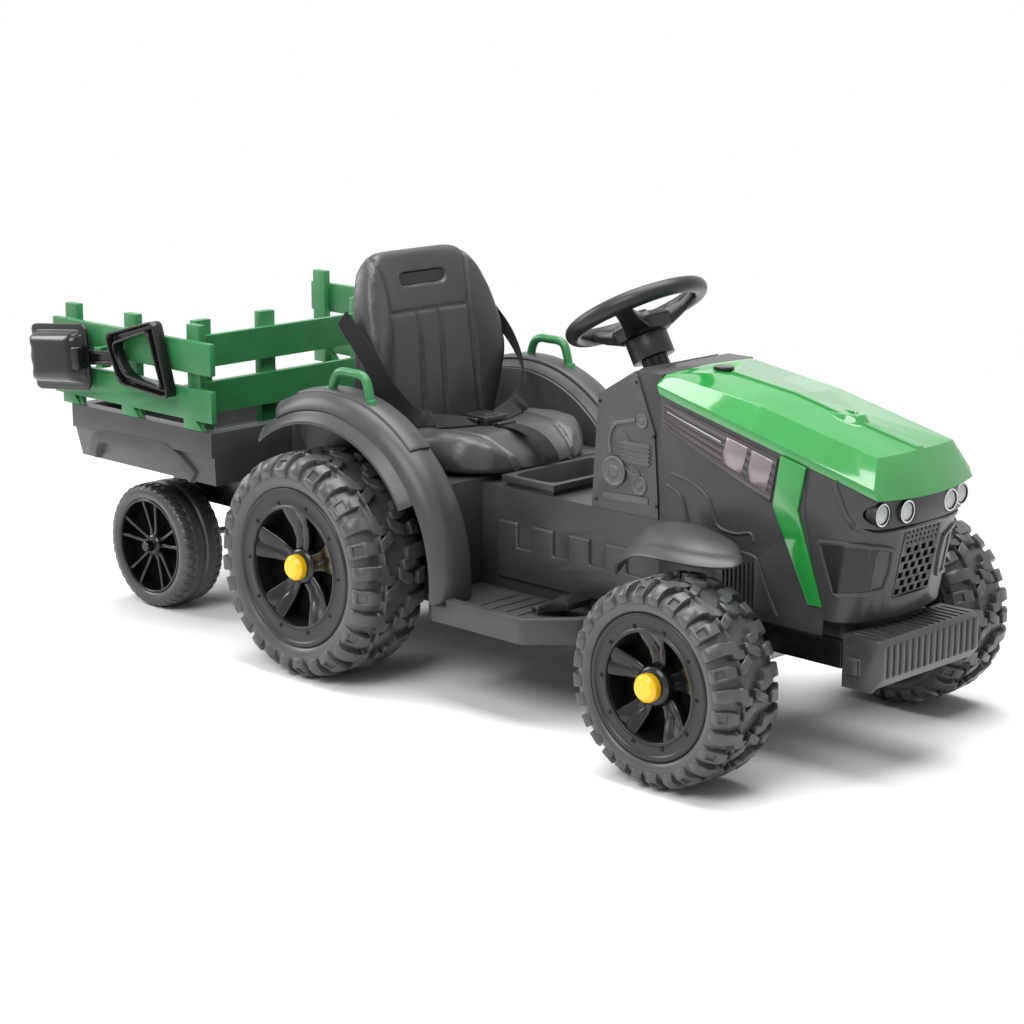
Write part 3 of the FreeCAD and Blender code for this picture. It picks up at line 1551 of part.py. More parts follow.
def shoulder_strap():
    """Left shoulder strap, from the side of the backrest down to the buckle."""
    edge = max(seat_section_halves) + seam
    front = seat_section_fronts[4] + seat_section_prouds[4] + strap_thick
    lap = buckle_z + strap_thick
    points = [
        at(front - strap_width * 2, edge, seat_section_heights[5] - strap_width),
        at(front + strap_thick, edge, seat_section_heights[4] - strap_width / 2),
        at(front + strap_width * 2, edge - 2 * strap_width, seat_section_heights[3]),
        at(buckle_x - strap_width, buckle_half + strap_width, lap + strap_width / 2),
        at(buckle_x, buckle_half + seam, lap),
    ]
    lifts = [at(0, 1, 0), at(1, 2, 0), at(1, 1, 1), at(0, 1, 2), at(0, 0, 1)]
    return ribbon(points, lifts, at(0, -1, 0))


def crotch_strap():
    """Strap from the buckle over the front edge of the cushion."""
    start = buckle_x + buckle_length / 2
    points = [at(start + seam, 0, buckle_z + slip)]
    for i in (3, 4, 5):
        points.append(at(cushion_stations[i], 0, cushion_tops[i] + slip))
    return ribbon(points, [at(0, 0, 1)] * len(points), points[3] - points[2])


def harness():
    left = shoulder_strap()
    return Part.makeCompound([left, other_side(left), crotch_strap()])


def harness_buckle():
    half = buckle_length / 2
    face = rounded([
        at(buckle_x - half, -buckle_half, buckle_z), at(buckle_x + half, -buckle_half, buckle_z),
        at(buckle_x + half, buckle_half, buckle_z), at(buckle_x - half, buckle_half, buckle_z),
    ], bumper_edge)
    return face.extrude(at(0, 0, buckle_thick))


# Drive


def battery():
    return block(battery_back_x, battery_back_x + battery_length, -battery_half, battery_half,
                 floor_top_z, floor_top_z + battery_height)


def gear_motor():
    """Left gearbox on the axle, with its motor lying inwards and its boss in the body side."""
    outer = body_half - body_wall
    case = block(gear_back_x, gear_front_x, gear_inner_y, outer - slip, floor_top_z,
                 rear_axle_z + gear_half_height)
    motor = rod_y(motor_radius, gear_inner_y - motor_length, gear_inner_y, motor_x, rear_axle_z)
    wheel_back = rear_mid_y - rear_tyre_width / 2 + rim_edge_inset
    boss = rod_y(motor_boss_radius, outer - slip, wheel_back - slip, 0, rear_axle_z)
    bore = rod_y(axle_radius + bore_gap, gear_inner_y - overrun, wheel_back + overrun, 0, rear_axle_z)
    return joined([case, motor, boss]).cut(bore)


# Pedal


def pedal():
    hinge_z = floor_top_z + pedal_hinge_rise
    front = pedal_hinge_x + pedal_length
    low = hinge_z - pedal_pin_radius
    outline = [
        (pedal_hinge_x - pedal_eye_radius, hinge_z), (front - pedal_nose, floor_top_z + pedal_high),
        (front, floor_top_z + pedal_high - pedal_nose), (front, floor_top_z + pedal_lift + pedal_hinge_rise),
        (pedal_hinge_x, low),
    ]
    wedge = along_y(outline, pedal_y - pedal_half, pedal_y + pedal_half)
    reach = pedal_half + slip + pedal_ear
    pin = rod_y(pedal_pin_radius, pedal_y - reach, pedal_y + reach, pedal_hinge_x, hinge_z)
    return joined([wedge, pin])


# Hitch and trailer


def hitch_bracket():
    high = hitch_plate_low_z + hitch_plate
    plate = block(hitch_x, pan_back_x, -hitch_half, hitch_half, hitch_plate_low_z, high)
    nose = rod_z(hitch_half, hitch_plate_low_z, high, hitch_x, 0)
    foot = block(pan_back_x - hitch_foot, pan_back_x, -2 * hitch_half, 2 * hitch_half,
                 hitch_plate_low_z - hitch_half, high + hitch_half)
    hole = rod_z(hitch_pin_radius + bore_gap, hitch_plate_low_z - overrun, high + overrun, hitch_x, 0)
    return joined([plate, nose, foot]).cut(hole)


def trailer_frame():
    """Under-tub box with axle legs and a drawbar that laps over the hitch plate."""
    box = block(frame_back_x, frame_front_x, -frame_half, frame_half, frame_low_z, tub_low_z)
    hollow = block(frame_back_x + frame_wall, frame_front_x - frame_wall, frame_wall - frame_half,
                   frame_half - frame_wall, frame_low_z + frame_wall, tub_low_z + overrun)
    bar_low = hitch_plate_low_z + hitch_plate + slip
    bar_high = bar_low + hitch_plate
    bar = block(frame_front_x, hitch_x, -drawbar_half, drawbar_half, bar_low, bar_high)
    nose = rod_z(drawbar_half, bar_low, bar_high, hitch_x, 0)
    pieces = [box.cut(hollow), bar, nose]
    cuts = [rod_z(hitch_pin_radius, bar_low - overrun, bar_high + overrun, hitch_x, 0)]
    for side in (-1, 1):
        low, high = sorted((side * frame_half, side * (frame_half - axle_leg_thick)))
        pieces.append(block(trailer_axle_x - axle_leg_half, trailer_axle_x + axle_leg_half, low, high,
                            trailer_axle_z, frame_low_z))
        pieces.append(rod_y(axle_leg_half, low, high, trailer_axle_x, trailer_axle_z))
    cuts.append(rod_y(axle_radius, -frame_half - overrun, frame_half + overrun, trailer_axle_x, trailer_axle_z))
    return joined(pieces).cut(cuts)


def hitch_pin():
    low = hitch_plate_low_z - hitch_head_height
    high = hitch_plate_low_z + 2 * hitch_plate + slip
    shank = rod_z(hitch_pin_radius, low, high, hitch_x, 0)
    head = rod_z(hitch_pin_head, high, high + hitch_head_height, hitch_x, 0)
    return joined([shank, head])


def trailer_axle():
    end = trailer_mid_y + trailer_tyre_width / 2 + rim_hub_proud
    return rod_y(axle_radius, -end, end, trailer_axle_x, trailer_axle_z)


def tub_section(z, inset):
    """Plan of the tub at one height; its lower part draws in a little."""
    draw = tub_draft * (tub_step_z - z) / (tub_step_z - tub_low_z) if z < tub_step_z else 0.0
    shrink = inset + draw / 2
    x0 = tub_back_x + shrink
    x1 = tub_front_x - shrink
    y = tub_half - tub_step - shrink
    return [at(x0, -y, z), at(x1, -y, z), at(x1, y, z), at(x0, y, z)]


def tub_arch():
    """Raised arch over the wheel on the left side of the tub."""
    outline = [
        (trailer_axle_x - arch_half, tub_low_z), (trailer_axle_x - arch_half + arch_foot_spread, arch_top_z),
        (trailer_axle_x + arch_half - arch_foot_spread, arch_top_z), (trailer_axle_x + arch_half, tub_low_z),
    ]
    clip_back = max(tub_back_x, trailer_axle_x - arch_half)
    arch = along_y(outline, tub_half - 2 * tub_step - tub_wall / 2, tub_half + arch_proud)
    return arch.common(block(clip_back, tub_front_x, 0, tub_half + arch_proud, tub_low_z, tub_top_z))


def post_pads():
    """Raised pads on the floor of the tub, under the posts of the front panel."""
    floor = tub_low_z + tub_wall
    back = front_slat_x + slat_thick - post_pad_margin
    front = front_slat_x + slat_thick + post_thick + post_pad_margin
    half = post_width / 2 + post_pad_margin
    pads = []
    for share in front_post_half_shares:
        y = front_slat_half * share
        pads.append(block(back, front, y - half, y + half, floor - seam, floor + post_pad))
    return pads


def trailer_tub():
    lower = ruled([tub_section(tub_low_z, 0), tub_section(tub_step_z, 0)])
    upper = block(tub_back_x, tub_front_x, -tub_half, tub_half, tub_step_z, tub_top_z)
    arch = tub_arch()
    hollow = ruled([tub_section(tub_low_z + tub_wall, tub_wall), tub_section(tub_step_z, tub_wall)])
    rim = tub_rim_width
    room = block(tub_back_x + tub_wall, tub_front_x - tub_wall, tub_wall + tub_step - tub_half,
                 tub_half - tub_wall - tub_step, tub_step_z, tub_top_z - tub_rim_height)
    mouth = block(tub_back_x + rim, tub_front_x - rim, rim - tub_half, tub_half - rim, tub_step_z,
                  tub_top_z + overrun)
    tub = joined([lower, upper, arch, other_side(arch)]).cut([hollow, room, mouth])
    return joined([tub] + post_pads())


def slat_pair(x0, x1, y0, y1):
    rows = []
    for i in range(2):
        z = slat_low_z + (slat_height + slat_gap) * i
        rows.append(block(x0, x1, y0, y1, z, z + slat_height))
    return rows


def side_panel():
    """Left slatted panel: two slats on three posts that stand on the tub's rim."""
    inner = slat_outer_y - slat_thick
    pieces = slat_pair(slat_back_x, slat_front_x, inner, slat_outer_y)
    for share in post_shares:
        x = slat_back_x + (slat_front_x - slat_back_x) * share
        pieces.append(block(x - post_width / 2, x + post_width / 2, inner - post_thick, inner, tub_top_z,
                            post_top_z))
        pieces.append(along_y([(x - post_width / 2, tub_top_z), (x - post_width / 2, slat_low_z),
                               (x + post_width / 2, slat_low_z), (x + post_width, tub_top_z)],
                              inner, slat_outer_y))
    clipped = [piece.common(block(slat_back_x, slat_front_x, 0, tub_half, tub_top_z, post_top_z))
               for piece in pieces]
    return joined(clipped)


def shovel_clips():
    """Two U-shaped clips on the outer face of the right panel that hold the shovel's shaft."""
    low = shovel_axis_z - shaft_half - slip - clip_wall
    high = shovel_axis_z + shaft_half + slip + clip_wall
    face = -slat_outer_y
    front = shovel_y - shovel_thick
    clips = []
    for z0, z1 in ((low, low + clip_wall), (high - clip_wall, high)):
        clips.append(block(clip_x, clip_x + clip_width, front, face, z0, z1))
    clips.append(block(clip_x, clip_x + clip_width, shovel_y + slip, face, low, high))
    return clips


def right_panel():
    return joined([other_side(side_panel())] + [inclined(clip) for clip in shovel_clips()])


def front_panel():
    """Slatted front panel that stands on pads on the floor of the tub."""
    face = front_slat_x + slat_thick
    rows = slat_pair(front_slat_x, face, -front_slat_half, front_slat_half)
    foot = tub_low_z + tub_wall + post_pad
    for share in front_post_half_shares:
        y = front_slat_half * share
        rows.append(block(face, face + post_thick, y - post_width / 2, y + post_width / 2, foot, post_top_z))
    return joined(rows)


# Shovel


def inclined(shape):
    """Tips a shape drawn along the level shovel axis, so that the grip stands higher than the blade."""
    copy = shape.copy()
    copy.rotate(at(clip_x, shovel_y, shovel_axis_z), at(0, -1, 0), shovel_rise)
    return copy


def shovel_blade():
    """Box-like scoop that opens towards the trailer, with a rim round its mouth."""
    back = shovel_y - shovel_thick / 2
    out = shovel_y - blade_depth

    def ring(y, inset):
        return [
            at(blade_back_x + inset, y, shovel_axis_z - blade_half_z + inset),
            at(blade_front_x - inset, y, shovel_axis_z - blade_half_z + inset),
            at(blade_front_x - inset, y, shovel_axis_z + blade_half_z - inset),
            at(blade_back_x + inset, y, shovel_axis_z + blade_half_z - inset),
        ]

    shell = ruled([ring(back, blade_rim), ring(out, blade_rim + blade_taper)])
    room = ruled([ring(back + seam, blade_rim + blade_wall),
                  ring(out + blade_wall, blade_rim + blade_wall + blade_taper)])
    lip = closed(ring(back, 0)).extrude(at(0, -blade_wall, 0))
    return joined([shell, lip]).cut(room)


def shovel_grip():
    face_y = shovel_y - shovel_thick

    def frame(inset):
        return rounded([
            at(shovel_neck_x + grip_rake / 2 + inset, face_y, shovel_axis_z - grip_back_half + inset),
            at(grip_front_x - inset, face_y, shovel_axis_z - grip_front_half + inset),
            at(grip_front_x - grip_rake - inset, face_y, shovel_axis_z + grip_front_half - inset),
            at(shovel_neck_x - grip_rake / 2 + inset, face_y, shovel_axis_z + grip_back_half - inset),
        ], grip_corner - inset / 3).extrude(at(0, shovel_thick, 0))

    return frame(0).cut(frame(grip_bar))


def shovel():
    start = blade_front_x - 2 * blade_rim
    end = shovel_neck_x + grip_bar / 2
    shaft = block(start, end, shovel_y - shovel_thick, shovel_y, shovel_axis_z - shaft_half,
                  shovel_axis_z + shaft_half)
    groove = block(start - overrun, end - grip_bar, shovel_y - shovel_thick - overrun,
                   shovel_y - shovel_thick / 2, shovel_axis_z - shaft_half / 2, shovel_axis_z + shaft_half / 2)
    room = block(blade_back_x, blade_front_x - blade_rim - blade_wall - blade_taper, shovel_y - blade_depth,
                 shovel_y + overrun, shovel_axis_z - blade_half_z, shovel_axis_z + blade_half_z)
    return inclined(joined([shovel_blade(), shaft.cut([groove, room]), shovel_grip()]))


def make_body():
    save("floor_pan", floor_pan())
    save("rear_body", rear_body())
    save("grab_handles", both_sides(grab_handle()))
    save("console", console())
    save("cowl", cowl())
    save("dash_panel", dash_panel())
    save("engine_plates", both_sides(engine_plate()))
    save("hood", hood())
    save("hood_cap", hood_cap())
    save("hood_strips", both_sides(hood_strip(0)))
    save("vent_panels", both_sides(vent_panel()))
    save("side_covers", both_sides(side_cover()))
    save("nose_panel", nose_panel())
    save("grille_insert", grille_insert())
    save("headlight_bezels", headlight_bezels())
    save("headlight_lenses", headlight_lenses())
    save("front_bumper", front_bumper())
    save("front_frame", front_frame())
    save("front_fenders", both_sides(front_fender()))
    save("front_axle_beam", front_axle_beam())
    save("rear_axle", rear_axle())
    save("gear_motors", both_sides(gear_motor()))
    save("battery", battery())
    save("hitch_bracket", hitch_bracket())
    save("seat_back", seat_back())
    save("seat_cushion", seat_cushion())
    save("harness", harness())
    save("harness_buckle", harness_buckle())


def make_controls():
    save("steering_wheel", steering_wheel())
    save("steering_shaft", steering_shaft())
    save("horn_button", horn_button())
    save("start_button", start_button())
    save("direction_rocker", direction_rocker())
    save("pedal", pedal())
    save("tie_rod", tie_rod())
    left = knuckle()
    save("knuckle_left", left)
    save("knuckle_right", other_side(left))


def make_trailer():
    save("trailer_tub", trailer_tub())
    save("trailer_side_panels", Part.makeCompound([side_panel(), right_panel()]))
    save("trailer_front_panel", front_panel())
    save("trailer_frame", trailer_frame())
    save("trailer_axle", trailer_axle())
    save("hitch_pin", hitch_pin())
    save("shovel", shovel())


os.makedirs("parts", exist_ok=True)
make_wheels()
make_body()
make_controls()
make_trailer()
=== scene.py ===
import math

import bmesh
import bpy
from mathutils import Matrix, Vector
from mathutils.bvhtree import BVHTree


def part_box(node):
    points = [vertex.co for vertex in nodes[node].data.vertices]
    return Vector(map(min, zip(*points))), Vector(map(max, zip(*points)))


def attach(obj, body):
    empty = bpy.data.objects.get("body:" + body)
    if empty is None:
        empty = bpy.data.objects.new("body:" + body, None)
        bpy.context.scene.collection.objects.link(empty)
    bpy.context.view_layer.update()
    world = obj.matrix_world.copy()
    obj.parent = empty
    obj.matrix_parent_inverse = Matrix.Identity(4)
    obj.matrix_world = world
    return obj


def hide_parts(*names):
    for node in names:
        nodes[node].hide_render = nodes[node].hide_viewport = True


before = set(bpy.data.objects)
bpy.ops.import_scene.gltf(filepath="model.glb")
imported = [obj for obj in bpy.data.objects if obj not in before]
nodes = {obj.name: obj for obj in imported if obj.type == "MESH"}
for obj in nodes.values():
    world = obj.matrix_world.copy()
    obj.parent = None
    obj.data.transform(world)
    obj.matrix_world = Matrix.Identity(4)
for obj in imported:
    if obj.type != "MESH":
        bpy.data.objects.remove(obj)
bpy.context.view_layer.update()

scene = bpy.context.scene
MM = 0.001
full_turn = 2 * math.pi
hands = (-1, 1)
rear_hub = (Vector(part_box("rear_wheel_left_rim")[0]) + Vector(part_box("rear_wheel_left_rim")[1])) / 2
rear_x = rear_hub.x
tractor_wheels = [f"{axle}_wheel_{hand}" for axle in ("front", "rear") for hand in ("left", "right")]
trailer_wheels = [f"trailer_wheel_{hand}" for hand in ("left", "right")]


def spot(x, y, z):
    """A point of the object's frame, from millimetres forward of the rear axle, to the left and up."""
    return Vector((rear_x + x * MM, y * MM, z * MM))


# ---------------- materials


def linear(code):
    """Linear colour of an sRGB hex value."""
    parts = [int(code[i:i + 2], 16) / 255 for i in (1, 3, 5)]
    return tuple(c / 12.92 if c <= 0.04045 else ((c + 0.055) / 1.055) ** 2.4 for c in parts) + (1.0,)


def add(tree, kind, settings=None, links=None):
    """Adds one node: settings by attribute or input name, links from sockets or from nodes' first outputs."""
    node = tree.nodes.new(kind)
    for key, value in (settings or {}).items():
        if hasattr(node, str(key)):
            setattr(node, key, value)
        else:
            node.inputs[key].default_value = value
    for key, source in (links or {}).items():
        tree.links.new(getattr(source, "outputs", (source,))[0], node.inputs[key])
    return node


def new_finish(name):
    material = bpy.data.materials.new(name)
    material.use_nodes = True
    material.node_tree.nodes.clear()
    return material, material.node_tree


def coordinates(tree, kind="Object"):
    return add(tree, "ShaderNodeTexCoord").outputs[kind]


def noise(tree, place, size, detail, **more):
    """Clouds of a size in millimetres."""
    return add(tree, "ShaderNodeTexNoise", {"Scale": 1 / (size * MM), "Detail": detail, **more}, {"Vector": place})


# The Wave node runs through this many radians per metre at a scale of one.
wave_rate = 20


def waves(tree, place, direction, pitch, **more):
    """Bands across one direction, at a pitch in millimetres."""
    scale = full_turn / (wave_rate * pitch * MM)
    look = {"wave_type": "BANDS", "bands_direction": direction, "Scale": scale, **more}
    return add(tree, "ShaderNodeTexWave", look, {"Vector": place}).outputs["Fac"]


def mapped(tree, value, start, end, low=0.0, high=1.0, **more):
    """A value moved from one range to another."""
    limits = {"From Min": start, "From Max": end, "To Min": low, "To Max": high, **more}
    return add(tree, "ShaderNodeMapRange", limits, {"Value": value})


def blend(tree, first, second, share):
    """A colour between two hex values."""
    return add(tree, "ShaderNodeMixRGB", {"Color1": linear(first), "Color2": linear(second)}, {"Fac": share})


def bumped(tree, height, strength, depth, **more):
    """A relief of a depth in millimetres."""
    return add(tree, "ShaderNodeBump", {"Strength": strength, "Distance": depth * MM, **more}, {"Height": height})


def principled(tree, sockets, links):
    """Ends a material's tree with its shader."""
    shader = add(tree, "ShaderNodeBsdfPrincipled", sockets, links)
    add(tree, "ShaderNodeOutputMaterial", None, {"Surface": shader})


socket_names = {"specular": "Specular IOR Level", "ior": "IOR", "metal": "Metallic",
                "coat": "Coat Weight", "coat_rough": "Coat Roughness"}


def moulded(name, colour, shade, grain, relief, rough, spread, **looks):
    """A moulded plastic: a slow drift of colour, the mould's fine texture and uneven gloss. Sizes in millimetres."""
    material, tree = new_finish(name)
    place = coordinates(tree)
    cloud = noise(tree, place, size=60, detail=5.0, Roughness=0.6)
    principled(tree, {socket_names[key]: value for key, value in looks.items()}, {
        "Base Color": blend(tree, colour, shade, mapped(tree, cloud, 0.3, 0.7)),
        "Roughness": mapped(tree, cloud, 0.25, 0.75, rough - spread, rough + spread),
        "Normal": bumped(tree, noise(tree, place, grain, detail=3.0), 0.5, relief)})
    return material


def leather_look():
    """Embossed PU leather on foam: pebbled grain in cells of about 2 mm, with a dull sheen that the creases lose."""
    material, tree = new_finish("embossed_pu_leather")
    place = coordinates(tree)
    cells = add(tree, "ShaderNodeTexVoronoi", {"Scale": 1 / (2.0 * MM), "feature": "SMOOTH_F1"}, {"Vector": place})
    principled(tree, {"Specular IOR Level": 0.5}, {
        "Base Color": blend(tree, "#303032", "#3a3a3c", noise(tree, place, size=45, detail=5.0)),
        "Roughness": mapped(tree, cells, 0.0, 0.8, 0.3, 0.44),
        "Normal": bumped(tree, cells, 0.35, 0.25, invert=True)})
    return material


def webbing_weave():
    """Woven polyester webbing: ribs across the strap every 1.6 mm, drawn a little coarse so that they show."""
    material, tree = new_finish("woven_polyester_webbing")
    place = coordinates(tree, "UV")
    ribs = waves(tree, place, "X", 1.6, Distortion=0.4, Detail=1.0)
    weave = add(tree, "ShaderNodeMath", {"operation": "MULTIPLY"}, {0: ribs, 1: waves(tree, place, "Y", 3.2)})
    principled(tree, {"Roughness": 0.7, "Specular IOR Level": 0.2, "Sheen Weight": 0.08, "Sheen Roughness": 0.5}, {
        "Base Color": blend(tree, "#060607", "#131314", weave), "Normal": bumped(tree, weave, 0.7, 0.4)})
    return material


def plated_steel():
    """Zinc-plated steel rod: a pale grey metal with fine drawing lines and cloudy gloss."""
    material, tree = new_finish("zinc_plated_steel")
    place = coordinates(tree)
    drawn = add(tree, "ShaderNodeMapping", {"Scale": (1.0, 0.08, 1.0)}, {"Vector": place})
    lines = noise(tree, drawn, size=0.8, detail=2.0)
    principled(tree, {"Metallic": 1.0}, {
        "Base Color": blend(tree, "#8f9193", "#b4b6b8", lines),
        "Roughness": mapped(tree, lines, 0.0, 1.0, 0.28, 0.48), "Normal": bumped(tree, lines, 0.25, 0.05)})
    return material


def fluted_lens():
    """Moulded polycarbonate lamp lens: pale, with upright flutes every 2.6 mm over a bright backing."""
    material, tree = new_finish("fluted_polycarbonate")
    place = coordinates(tree)
    flutes = waves(tree, place, "Y", 2.6)
    principled(tree, {"Roughness": 0.1, "IOR": 1.58, "Transmission Weight": 0.1}, {
        "Base Color": blend(tree, "#d4d7da", "#fafbfc", flutes), "Normal": bumped(tree, flutes, 0.6, 0.5)})
    return material


def bezel_plating_with_painted_shade():
    """Plated rings of the lamps: bright plating where they look ahead, and near-black along their sides as painted
    shade round the lens.
    """
    material, tree = new_finish("plated_abs_with_painted_side_shade")
    normal = add(tree, "ShaderNodeNewGeometry").outputs["Normal"]
    # Faces that look ahead get plating; the sides get #141415, which is painted shade chosen by the way each face
    # turns.
    ahead = mapped(tree, add(tree, "ShaderNodeSeparateXYZ", None, {"Vector": normal}), 0.8, 0.9)
    principled(tree, None, {
        "Base Color": blend(tree, "#141415", "#c4c5c8", ahead), "Metallic": ahead,
        "Roughness": mapped(tree, ahead, 0.0, 1.0, 0.42, 0.2)})
    return material


finish_of_slot = {
    # Textured polypropylene off a spark-eroded mould: even dark grey with a fine matt pebble.
    "body_grey": moulded("textured_polypropylene_grey", "#373739", "#404042", 1.1, 0.12, 0.36, 0.05, specular=0.42),
    # Polished ABS: deep green with clear reflections and a faint orange peel.
    "green_gloss": moulded("polished_abs_green", "#278a3d", "#2e9544", 14.0, 0.05, 0.13, 0.03,
                           ior=1.54, coat=0.6, coat_rough=0.05),
    # Plain moulded polypropylene: green with a soft shine and flow marks.
    "green_satin": moulded("moulded_polypropylene_green", "#2d7042", "#357d4b", 1.6, 0.10, 0.34, 0.06, specular=0.45),
    # Blow-moulded polyethylene: near-black with a wet-looking shine.
    "black_gloss": moulded("glossy_polyethylene_black", "#0d0d0e", "#131314", 9.0, 0.08, 0.2, 0.05, specular=0.42),
    # Moulded ABS with a fine matt texture: black that scatters highlights.
    "black_satin": moulded("satin_abs_black", "#161617", "#1e1e20", 0.9, 0.08, 0.36, 0.05, specular=0.4),
    # Tyre plastic: dark grey polyethylene, rubbed and slightly waxy on the lugs.
    "tread": moulded("blow_moulded_tyre_polyethylene", "#3c3c3e", "#49494b", 2.2, 0.25, 0.34, 0.08, specular=0.5),
    # Injection-moulded ABS in yellow with a clean shine.
    "cap_yellow": moulded("polished_abs_yellow", "#f2b90c", "#f7c51c", 8.0, 0.05, 0.25, 0.04, ior=1.54),
    # Smoked film on acrylic: dark with a purple cast and a mirror shine.
    "vent_dark": moulded("smoked_acrylic_film", "#3a3437", "#453e41", 12.0, 0.04, 0.16, 0.04,
                         ior=1.49, coat=0.4, coat_rough=0.08),
    # Vacuum-metallised lamp ring and trim: bright with faint ripples.
    "bright_ring": moulded("metallised_abs", "#b9babd", "#c9cacd", 10.0, 0.04, 0.18, 0.05, metal=1.0),
    # Cast-look moulding with a dusting of metal pigment: warm grey, grainy.
    "engine_bronze": moulded("metal_flake_polypropylene", "#454445", "#504f50", 1.4, 0.18, 0.42, 0.06,
                             ior=1.5, metal=0.15),
    "seat_skin": leather_look(),
    "webbing": webbing_weave(),
    "steel": plated_steel(),
    "lens": fluted_lens(),
}
# Painted shade: a near-black matt sheet that lines the wheels' dishes behind the spokes, where the rims lie in shadow.
painted_shade_black = moulded("painted_shade_black_matt", "#070708", "#0b0b0c", 3.0, 0.2, 0.8, 0.05, specular=0.08)
# Ribbed polypropylene: a greyer black with a soft shine along every rib.
rib_black = moulded("ribbed_polypropylene_black", "#363638", "#404042", 2.0, 0.1, 0.3, 0.05, specular=0.5)
# Tinted mirror film on the vent windows: pale purple-grey with a clear shine.
window_film = moulded("tinted_mirror_film", "#7d7377", "#92888b", 14.0, 0.03, 0.2, 0.05, metal=0.55)
# Cast-look relief: a little paler than the plate that carries it.
relief_bronze = moulded("metal_flake_relief", "#535152", "#5f5d5e", 1.2, 0.16, 0.38, 0.06, ior=1.5, metal=0.2)


# ---------------- node trees


def geometry_tree(name, *inputs):
    """An empty geometry tree with named inputs, and the sockets that they come in by."""
    tree = bpy.data.node_groups.new(name, "GeometryNodeTree")
    tree.interface.new_socket("Geometry", in_out="OUTPUT", socket_type="NodeSocketGeometry")
    for label, kind in inputs:
        tree.interface.new_socket(label, in_out="INPUT", socket_type="NodeSocket" + kind)
    return tree, add(tree, "NodeGroupInput").outputs


def real_copies(tree, given, points, turn):
    """Ends a tree with copies of its shape on points, as plain geometry with one material."""
    shape = add(tree, "GeometryNodeObjectInfo", None, {"Object": given["Shape"]})
    copies = add(tree, "GeometryNodeInstanceOnPoints", None, {
        "Points": points, "Instance": shape.outputs["Geometry"], **turn})
    real = add(tree, "GeometryNodeRealizeInstances", None, {"Geometry": copies})
    done = add(tree, "GeometryNodeSetMaterial", None, {"Geometry": real, "Material": given["Finish"]})
    add(tree, "NodeGroupOutput", None, {"Geometry": done})
    return tree


def angle_shading():
    """Geometry tree: plain smooth shading with a crease at edges sharper than the named angle."""
    tree, given = geometry_tree("crease_by_angle", ("Geometry", "Geometry"), ("Crease angle", "Float"))
    angle = add(tree, "GeometryNodeInputMeshEdgeAngle")
    below = add(tree, "FunctionNodeCompare", {"operation": "LESS_THAN"}, {0: angle, 1: given["Crease angle"]})
    smooth = add(tree, "GeometryNodeSetShadeSmooth", {"domain": "FACE"}, {"Geometry": given["Geometry"]})
    crease = add(tree, "GeometryNodeSetShadeSmooth", {"domain": "EDGE"}, {"Geometry": smooth, "Shade Smooth": below})
    add(tree, "NodeGroupOutput", None, {"Geometry": crease})
    return tree


def plain_normals():
    """Geometry tree: drops the imported normals so that rounded edges shade by their own form."""
    tree, given = geometry_tree("drop_imported_normals", ("Geometry", "Geometry"))
    last = given["Geometry"]
    for label in ("custom_normal", "sharp_edge", "sharp_face"):
        last = add(tree, "GeometryNodeRemoveAttribute", {"Name": label}, {"Geometry": last})
    add(tree, "NodeGroupOutput", None, {"Geometry": last})
    return tree


def ring_of_copies():
    """Geometry tree: copies of one shape, evenly spaced round an axle along Y."""
    tree, given = geometry_tree("ring_of_copies", ("Shape", "Object"), ("Count", "Int"), ("Start angle", "Float"),
                                ("Centre", "Vector"), ("Finish", "Material"))
    points = add(tree, "GeometryNodePoints", None, {"Count": given["Count"], "Position": given["Centre"]})
    step = add(tree, "ShaderNodeMath", {"operation": "DIVIDE", 0: full_turn}, {1: given["Count"]})
    turn = add(tree, "ShaderNodeMath", {"operation": "MULTIPLY_ADD"}, {
        0: add(tree, "GeometryNodeInputIndex"), 1: step, 2: given["Start angle"]})
    return real_copies(tree, given, points, {"Rotation": add(tree, "ShaderNodeCombineXYZ", None, {"Y": turn})})


def copies_on_points():
    """Geometry tree: one shape at every vertex of the carrier."""
    tree, given = geometry_tree("copies_on_points", ("Geometry", "Geometry"), ("Shape", "Object"),
                                ("Finish", "Material"))
    return real_copies(tree, given, given["Geometry"], {})


crease_tree, bare_tree, ring_tree, points_tree = angle_shading(), plain_normals(), ring_of_copies(), copies_on_points()


def grow(obj, tree, values):
    """Puts a geometry tree on an object, with its inputs set by the identifiers of the tree's sockets."""
    modifier = obj.modifiers.new(tree.name, "NODES")
    modifier.node_group = tree
    for item in tree.interface.items_tree:
        if item.in_out == "INPUT" and item.name in values:
            modifier[item.identifier] = values[item.name]


# ---------------- making and placing pieces


def linked(name, mesh):
    obj = bpy.data.objects.new(name, mesh)
    scene.collection.objects.link(obj)
    return obj


def mesh_object(name, verts, faces):
    mesh = bpy.data.meshes.new(name)
    mesh.from_pydata([tuple(v) for v in verts], [], faces)
    mesh.validate()
    return linked(name, mesh)


def reworked(obj, *steps):
    """Runs steps on an object's mesh in edit form."""
    work = bmesh.new()
    work.from_mesh(obj.data)
    for step in steps:
        step(work)
    work.to_mesh(obj.data)
    work.free()
    return obj


def turn_out(work):
    bmesh.ops.recalc_face_normals(work, faces=work.faces)


def merge_doubles(reach):
    return lambda work: bmesh.ops.remove_doubles(work, verts=work.verts, dist=reach * MM)


def outward(obj):
    """Merges doubles and turns every face of a closed mesh outwards."""
    return reworked(obj, merge_doubles(0.01), turn_out)


def settled(obj):
    """Turns an object with its modifiers into a plain mesh of the same name."""
    solid = bpy.data.meshes.new_from_object(obj.evaluated_get(bpy.context.evaluated_depsgraph_get()))
    obj.modifiers.clear()
    obj.data = solid
    return obj


def gathered(name, meshes):
    """One mesh object from several meshes at the origin."""
    work = bmesh.new()
    for part in meshes:
        work.from_mesh(part)
    mesh = bpy.data.meshes.new(name)
    work.to_mesh(mesh)
    work.free()
    return linked(name, mesh)


